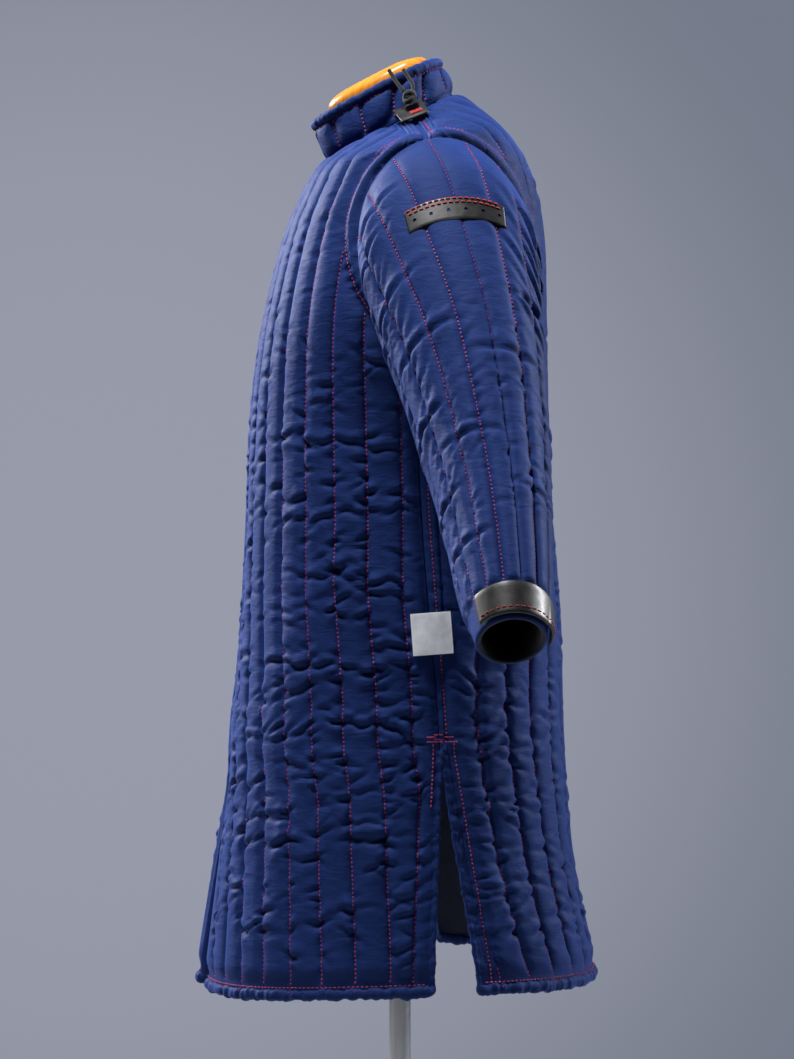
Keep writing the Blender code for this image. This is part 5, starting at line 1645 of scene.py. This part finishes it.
for sign, side in ((1, "left"), (-1, "right")):
    m = (lambda p: p) if sign > 0 else flipped
    # half cuff: rows along the sleeve, columns round it; the lower edge flares a little
    st_, tn = np.meshgrid(np.linspace(CUFF_SPAN[0], CUFF_SPAN[1] + 0.02, 15), np.linspace(*CUFF_TURN, 75), indexing="ij")
    P, N = sleeve_point(st_, tn)
    rows_f = np.linspace(0, 1, 15)[:, None, None]
    P = P + N * (0.0010 + 0.0012 * rows_f * (tn / 104.0 > 0.55)[..., None])
    if sign < 0:
        P, N = flipped(P), flipped(N)
        P, N = P[:, ::-1], N[:, ::-1]
    top = slab("leather_cuff_" + side, "cuff_leather_" + side, P, N, 0.0026, [LEATHER_MAT])
    path = top[11, 2:-2] * 0.6 + top[10, 2:-2] * 0.4
    heavy.run(path, N[11, 2:-2], pitch=0.0066, length=0.0052, radius=0.00080, lift=0.0003)
    # lacing strip with six holes
    base_v = np.linspace(*STRIP_SPAN, 23)
    tn = np.linspace(*STRIP_TURN, 113)
    u = np.linspace(-1, 1, 113)
    stn = base_v[:, None] - STRIP_RISE * u[None] ** 2
    tn2 = np.broadcast_to(tn[None], stn.shape)
    P, N = sleeve_point(stn, tn2)
    P = P + N * 0.0014
    if sign < 0:
        P, N = flipped(P)[:, ::-1], flipped(N)[:, ::-1]
    lx = np.concatenate([[0], np.cumsum(np.linalg.norm(np.diff(P[11], axis=0), axis=1))])
    ly = np.concatenate([[0], np.cumsum(np.linalg.norm(np.diff(P[:, 56], axis=0), axis=1))])
    LX, LY = np.meshgrid(lx, ly)
    hx = np.linspace(0.010, lx[-1] - 0.007, 6)
    f = np.min(np.sqrt((LX[..., None] - hx) ** 2 + (LY[..., None] - ly[-1] * 0.60) ** 2), -1) - 0.0021
    top = slab("leather_lacing_strip_" + side, "lacing_strip_" + side, P, N, 0.0026, [LEATHER_MAT], holes=f)
    for row in (2, 6):
        heavy.run(top[row, 2:-2], N[row, 2:-2], pitch=0.0066, length=0.0053, radius=0.00100, lift=0.0003, start=0.45 if row == 2 else 0.75)

# =====================================================================
# Lacing patch, knot and lace tails at each shoulder
# =====================================================================
def seam_station(x):
    lo, hi = 16.0, len(RINGS) - 1.0
    for _ in range(40):
        mid = (lo + hi) / 2
        row = cubic(RINGS, np.array(mid))
        if oval(row, angle_at_y(row, row[7]))[0] > x:
            lo = mid
        else:
            hi = mid
    return (lo + hi) / 2


def seam_surface(x, dy):
    t = seam_station(x)
    row = cubic(RINGS, np.array(t))
    a = angle_at_y(row, row[7] + dy)
    return body_point(np.array(t), a), body_normal(np.array(t), a)


knot_p, knot_n = seam_surface(0.102, 0.005)
KNOT = knot_p + knot_n * (0.0100 + LEATHER + KNOT_RADIUS + 0.0004)
TAILS = {
    "a": ((0.0, -0.0065, 0.0070), (-0.004, -0.0115, 0.0140), (-0.009, -0.0165, 0.0225), (-0.0125, -0.0225, 0.0330)),
    "b": ((0.0010, 0.0035, 0.0045), (-0.003, 0.0040, 0.0150), (-0.008, -0.0005, 0.0240), (-0.0118, -0.0060, 0.0335)),
}


def knot_mesh(sign):
    """Three turns of lace pulled tight round each other."""
    b = Build()
    turns = [
        # tilt_x tilt_z  radius  squash  lift
        (0.35, 0.20, 0.0064, 0.85, -0.0026),
        (1.15, 1.00, 0.0062, 0.90, 0.0006),
        (-0.75, 2.10, 0.0060, 0.85, 0.0026),
        (0.10, 2.80, 0.0056, 0.80, 0.0044),
    ]
    for tx, tz, r, squash, lift in turns:
        a = np.linspace(0, 2 * np.pi, 28, endpoint=False)
        ring = np.stack([r * np.cos(a), r * squash * np.sin(a), 0.0012 * np.sin(2 * a)], -1)
        cx, sx, cz, sz = math.cos(tx), math.sin(tx), math.cos(tz), math.sin(tz)
        rx = np.array([[1, 0, 0], [0, cx, -sx], [0, sx, cx]])
        rz = np.array([[cz, -sz, 0], [sz, cz, 0], [0, 0, 1]])
        ring = ring @ (rz @ rx).T + KNOT + np.array([0, 0, lift])
        T = unit(np.roll(ring, -1, 0) - np.roll(ring, 1, 0))
        U = unit(ring - ring.mean(0))
        S = unit(np.cross(T, U))
        q = np.linspace(0, 2 * np.pi, 10, endpoint=False)
        prof = np.stack([0.0024 * np.cos(q), 0.0030 * np.sin(q)], -1)
        P = ring[:, None] + U[:, None] * prof[None, :, :1] + S[:, None] * prof[None, :, 1:]
        P = np.concatenate([P, P[:1]])
        if sign < 0:
            P = flipped(P)
        b.grid(P, wrap=True, flip=sign < 0)
    la, lo_ = np.meshgrid(np.linspace(-1.45, 1.45, 9), np.linspace(0, 2 * np.pi, 18, endpoint=False), indexing="ij")
    ball = np.stack([np.cos(la) * np.cos(lo_), np.cos(la) * np.sin(lo_), np.sin(la)], -1) * 0.0074 + KNOT
    b.grid(flipped(ball) if sign < 0 else ball, wrap=True, flip=sign < 0)
    return b.mesh("lace_knot_wraps_" + ("left" if sign > 0 else "right"), [LACE])


for sign, side in ((1, "left"), (-1, "right")):
    g = np.array([sign, 1.0, 1.0])
    # leather patch: 11 x 11 points on the seam, its neck end standing off
    P, N = [], []
    for x in np.linspace(PATCH_ALONG[0], PATCH_ALONG[1], 11):
        j = (x - PATCH_ALONG[0]) / (PATCH_ALONG[1] - PATCH_ALONG[0])
        row_p, row_n = [], []
        for d in np.linspace(-PATCH_HALF, PATCH_HALF, 11):
            p, n = seam_surface(x, 0.002 + d)
            row_p.append(p + n * (0.0012 + PATCH_TILT * (1 - j)))
            row_n.append(n)
        P.append(row_p)
        N.append(row_n)
    P, N = np.array(P)[::-1], np.array(N)[::-1]
    if sign < 0:
        P, N = flipped(P), flipped(N)
        P, N = P[:, ::-1], N[:, ::-1]
    top = slab("leather_lacing_patch_" + side, "point_patch_" + side, P, N, 0.0026, [LEATHER_MAT])
    # a close bar of thick red stitches across the patch's outer end
    a, e, n = [], [], []
    for f in np.linspace(0.42, 0.80, 9) if sign > 0 else np.linspace(0.20, 0.58, 9):
        c = f * 10
        i = int(c)
        lo = top[1, i] * (1 - c + i) + top[1, i + 1] * (c - i)
        hi = top[4, i] * (1 - c + i) + top[4, i + 1] * (c - i)
        a.append(lo + N[2, i] * 0.0006)
        e.append(hi + N[3, i] * 0.0006)
        n.append(N[2, i])
    heavy.bars(a, e, n, 0.00085)
    knot = knot_mesh(sign)
    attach(knot, "root")
    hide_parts("lace_knot_" + side)
    for which, offs in TAILS.items():
        pts = np.array([cubic(np.array(offs), np.array(3.0 * k / 19)) for k in range(20)]) + KNOT
        pts = pts * g
        cu = bpy.data.curves.new("lace_end_" + side + "_" + which, "CURVE")
        cu.dimensions = "3D"
        cu.bevel_depth = LACE_DIAMETER / 2
        cu.bevel_resolution = 4
        cu.use_fill_caps = True
        sp = cu.splines.new("POLY")
        sp.points.add(len(pts) - 1)
        for q, p in zip(sp.points, pts):
            q.co = (*p, 1.0)
        cu.materials.append(LACE)
        tail = bpy.data.objects.new(cu.name, cu)
        bpy.context.scene.collection.objects.link(tail)
        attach(tail, "root")
        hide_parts("lace_tail_" + side + "_" + which)
        length = float(np.linalg.norm(np.diff(pts, axis=0), axis=1).sum())
        tuple(float(c) for c in pts[0])

# =====================================================================
# Side label, blank
# =====================================================================
zz = LABEL_CENTRE[1] + np.linspace(-0.5, 0.5, 17) * LABEL_SIZE[1]
yy = LABEL_CENTRE[0] + np.linspace(-0.5, 0.5, 17) * LABEL_SIZE[0]
Z, Y = np.meshgrid(zz, yy, indexing="ij")
tilt = math.radians(4.0)
Yt = LABEL_CENTRE[0] + (Y - LABEL_CENTRE[0]) * math.cos(tilt) - (Z - LABEL_CENTRE[1]) * math.sin(tilt)
Zt = LABEL_CENTRE[1] + (Y - LABEL_CENTRE[0]) * math.sin(tilt) + (Z - LABEL_CENTRE[1]) * math.cos(tilt)
P, N = body_side(Yt, Zt)
wave = 0.0005 * np.sin(Y * 150 + 1.0) * np.sin(Z * 120)
P = P + N * (0.0034 + wave)[..., None]
top = slab("blank_side_label", "label", P, N, 0.0007, [TAPE], bevel=0.0002)

# =====================================================================
# Dress form
# =====================================================================
def closed_rings(name, node, rings, mat, smooth_angle=40):
    b = Build()
    P = np.array(rings)
    idx = b.grid(P, wrap=True)
    for row, low in ((0, True), (-1, False)):
        c = b.add_points(P[row].mean(0)[None])
        r = idx[row, :-1]
        tri = np.stack([r, np.roll(r, -1), np.full(len(r), c)], -1)
        b.add_faces(tri[:, ::-1] if low else tri)
    obj = b.mesh(name, [mat], smooth_angle)
    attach(obj, "root")
    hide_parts(node)
    return obj


count = 96
ang = np.linspace(0, 2 * np.pi, count, endpoint=False)
lo, hi = 0.0, 21.0
for _ in range(40):
    mid_t = (lo + hi) / 2
    r = cubic(RINGS, np.array(mid_t))
    h = r[0] + (r[1] - r[0]) * r[2] / (r[2] + r[3])
    lo, hi = (mid_t, hi) if h < FORM_BOTTOM else (lo, mid_t)
first = lo
rings = []
for t, z, inset in ((first, FORM_BOTTOM, 0.016), (first, FORM_BOTTOM + 0.003, 0.006), (first + 0.06, FORM_BOTTOM + 0.010, 0.0012)):
    p = body_point(np.full(count, t), ang) - body_normal(np.full(count, t), ang) * (FORM_DEPTH + inset)
    p[:, 2] = z
    rings.append(p)
for t in np.arange(math.ceil(first) + 0.5, 21.01, 0.5):
    rings.append(body_point(np.full(count, t), ang) - body_normal(np.full(count, t), ang) * (FORM_DEPTH + 0.0003))
for level, depth in ((0.0, 0.0190), (1.0, 0.0198), (2.0, 0.0205)):
    p, n = collar_point(np.full(count, level), ang)
    rings.append(p - n * depth + axis * 0.002)
closed_rings("dress_form_torso", "form_torso", rings, FORM)

p, n = collar_point(np.full(count, 2.0), ang)
middle = p.mean(0)
slope_v = np.array([0.0, axis[2], -axis[1]])
rings = []
CAP = [
    # lift    inset   about the neck's edge
    (0.0026, 0.0235), (0.0032, 0.0220), (0.0045, 0.0212), (0.0065, 0.0207), (0.0095, 0.0205), (0.0125, 0.0206),
    (0.0150, 0.0211), (0.0175, 0.0221), (0.0199, 0.0243), (0.0220, 0.0283), (0.0238, 0.0345), (0.0250, 0.0420),
]
for lift, inset in CAP:
    rings.append(p - n * inset + axis * lift + slope_v * CAP_SET_BACK)
last = rings[-1]
lm = last.mean(0)
for f, up in ((0.7, 0.0006), (0.4, 0.0010), (0.12, 0.0012)):
    rings.append(lm + (last - lm) * f + axis * up)
closed_rings("dress_form_neck_cap", "form_neck_cap", rings, WOOD, 60)


def turned(name, node, profile, n, mat):
    a = np.linspace(0, 2 * np.pi, n, endpoint=False)
    rings = [np.stack([r * np.cos(a), r * np.sin(a), np.full(n, z)], -1) for r, z in profile]
    return closed_rings(name, node, rings, mat, 30)


turned("dress_form_pole", "form_pole", ((POLE_RADIUS, FOOT_HEIGHT + 0.0103), (POLE_RADIUS, 0.3), (POLE_RADIUS, FORM_BOTTOM - 0.0003)), 64, STEEL)
turned("dress_form_foot", "form_base", (
    (FOOT_RADIUS - 0.002, 0.0), (FOOT_RADIUS - 0.0006, 0.0006), (FOOT_RADIUS, 0.002), (FOOT_RADIUS, FOOT_HEIGHT - 0.003),
    (FOOT_RADIUS - 0.0009, FOOT_HEIGHT - 0.0009), (FOOT_RADIUS - 0.003, FOOT_HEIGHT), (0.034, FOOT_HEIGHT + 0.0001),
    (0.0285, FOOT_HEIGHT + 0.004), (0.026, FOOT_HEIGHT + 0.0098), (0.0245, FOOT_HEIGHT + 0.0100)), 128, PLATE)

# =====================================================================
# Stitches
# =====================================================================
for sign in (1, -1):
    fdat, bdat = panels[("front", sign)][1], panels[("back", sign)][1]
    for dat, edge, z0, x0, x1 in ((fdat, "end", SIDE_SLIT_TOP - 0.004, 0.0020, 0.0150), (bdat, "end", SIDE_SLIT_TOP - 0.004, 0.0020, 0.0150)):
        i = int(np.argmin(np.abs(dat["z"][:, -1] - z0)))
        for di, run_x in ((1, (x0, x1)), (3, (x0, x1))):
            pts = []
            for x_at in np.linspace(*run_x, 8):
                xs = dat[edge][i + di] - x_at
                pts.append([np.interp(xs, dat["s"][i + di], dat["P"][i + di][:, a]) for a in range(3)])
            pts = np.array(pts)
            nrm = np.tile(dat["N"][i + di, -4], (8, 1))
            red.run(pts, nrm, pitch=0.0030, length=0.0027, radius=0.0007, lift=0.0012)
    # two short bars tie both sides together over the slit's top
    fa, ba = fdat["P"], bdat["P"]
    for z0 in (SIDE_SLIT_TOP - 0.001, SIDE_SLIT_TOP + 0.0035, SIDE_SLIT_TOP + 0.008):
        i = int(np.argmin(np.abs(fdat["z"][:, -1] - z0)))
        j = int(np.argmin(np.abs(bdat["z"][:, -1] - z0)))
        p0, p1 = fa[i, -5] + fdat["N"][i, -5] * 0.0012, ba[j, -5] + bdat["N"][j, -5] * 0.0012
        red.bars([p0, (p0 + p1) / 2], [(p0 + p1) / 2, p1], [fdat["N"][i, -5]] * 2, 0.0007)

for name, st, mat in (("red_stitches_front", red, RED), ("red_stitches_back", red_back, RED),
                      ("red_stitches_sleeve_left", red_sleeve[1], RED), ("red_stitches_sleeve_right", red_sleeve[-1], RED),
                      ("red_stitches_leather", heavy, RED_HEAVY)):
    obj = st.mesh(name, mat)
    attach(obj, "root")


# =====================================================================
# Stage, light and camera
# =====================================================================
def floor_disc():
    n = 128
    a = np.linspace(0, 2 * np.pi, n, endpoint=False)
    b = Build()
    rings = [np.stack([r * np.cos(a), r * np.sin(a), np.full(n, z)], -1) for r, z in ((2.05, -0.0012), (2.05, -0.0002), (1.0, -0.0002), (0.2, -0.0002))]
    idx = b.grid(np.array(rings), wrap=True)
    c = b.add_points(np.array([[0.0, 0.0, -0.0002]]))
    r = idx[-1, :-1]
    b.add_faces(np.stack([r, np.roll(r, -1), np.full(n, c)], -1))
    mat = plain("stage_floor", (0.36, 0.37, 0.39), (0.39, 0.40, 0.42), 0.75, 0.85, 0.0, (3.0, 3.0, 3.0), 0.02)
    obj = b.mesh("stage_floor", [mat])


floor_disc()

world = bpy.data.worlds.new("studio")
bpy.context.scene.world = world
world.use_nodes = True
bg = world.node_tree.nodes["Background"]
wt = world.node_tree


def wnode(kind, **kw):
    node = wt.nodes.new(kind)
    for key, value in kw.items():
        setattr(node, key, value)
    return node


# a grey-blue wall on the far side of the room, brightest low towards the
# object's front, and the dark room on the other sides
direction = wnode("ShaderNodeTexCoord").outputs["Generated"]


def toward(vector):
    d = wnode("ShaderNodeVectorMath", operation="DOT_PRODUCT")
    wt.links.new(direction, d.inputs[0])
    d.inputs[1].default_value = Vector(vector).normalized()
    return d.outputs["Value"]


def remap(value, lo, hi, a, b, smooth_step=True):
    m = wnode("ShaderNodeMapRange")
    if smooth_step:
        m.interpolation_type = "SMOOTHSTEP"
    wt.links.new(value, m.inputs["Value"])
    for key, v in (("From Min", lo), ("From Max", hi), ("To Min", a), ("To Max", b)):
        m.inputs[key].default_value = v
    return m.outputs["Result"]


wall = remap(toward((-0.996, 0.087, 0.0)), 0.55, 0.93, 0.0, 1.0)
glow = remap(toward((-0.985, -0.010, -0.02)), 0.962, 1.0, 0.0, 1.0)
tone = wnode("ShaderNodeMix", data_type="RGBA")
tone.inputs[6].default_value = (0.176, 0.196, 0.250, 1.0)
tone.inputs[7].default_value = (0.312, 0.326, 0.402, 1.0)
wt.links.new(glow, tone.inputs[0])
room = wnode("ShaderNodeMix", data_type="RGBA")
room.inputs[6].default_value = (0.017, 0.019, 0.026, 1.0)
wt.links.new(wall, room.inputs[0])
wt.links.new(tone.outputs[2], room.inputs[7])
wt.links.new(room.outputs[2], bg.inputs["Color"])
bg.inputs["Strength"].default_value = 1.0


def area(name, loc, target, size, power, colour=(1, 1, 1), size_y=None):
    light = bpy.data.lights.new(name, "AREA")
    light.shape = "RECTANGLE"
    light.size = size
    light.size_y = size_y or size
    light.energy = power
    light.color = colour
    obj = bpy.data.objects.new(name, light)
    obj.location = loc
    obj.rotation_euler = (Vector(target) - Vector(loc)).to_track_quat("-Z", "Y").to_euler()
    bpy.context.scene.collection.objects.link(obj)


area("key_front", (-1.85, -2.10, 2.30), (0.0, 0.0, 0.95), 0.7, 175.0, (1.0, 0.98, 0.96), 1.1)
area("rim_back", (-0.38, 2.6, 2.1), (0.0, 0.1, 0.95), 0.5, 120.0, (0.96, 0.98, 1.0), 1.3)
area("overhead", (0.60, -0.60, 3.3), (0.05, 0.0, 0.9), 0.35, 118.0, (1.0, 1.0, 1.0), 0.8)

cam_data = bpy.data.cameras.new("camera")
cam = bpy.data.objects.new("camera", cam_data)
bpy.context.scene.collection.objects.link(cam)
az = math.radians(5.0)
view = Vector((-math.cos(az), math.sin(az), 0.0))
right = Vector((math.sin(az), math.cos(az), 0.0))
cam.location = -view * 3.7 - right * 0.0035 + Vector((0, 0, 0.978))
cam.rotation_euler = view.to_track_quat("-Z", "Y").to_euler()
cam_data.sensor_fit = "VERTICAL"
cam_data.sensor_height = 36.0
cam_data.lens = 3162.0 / 1059.0 * 36.0
cam_data.clip_end = 60.0
bpy.context.scene.camera = cam

scene = bpy.context.scene
scene.view_settings.view_transform = "Standard"
scene.view_settings.look = "None"
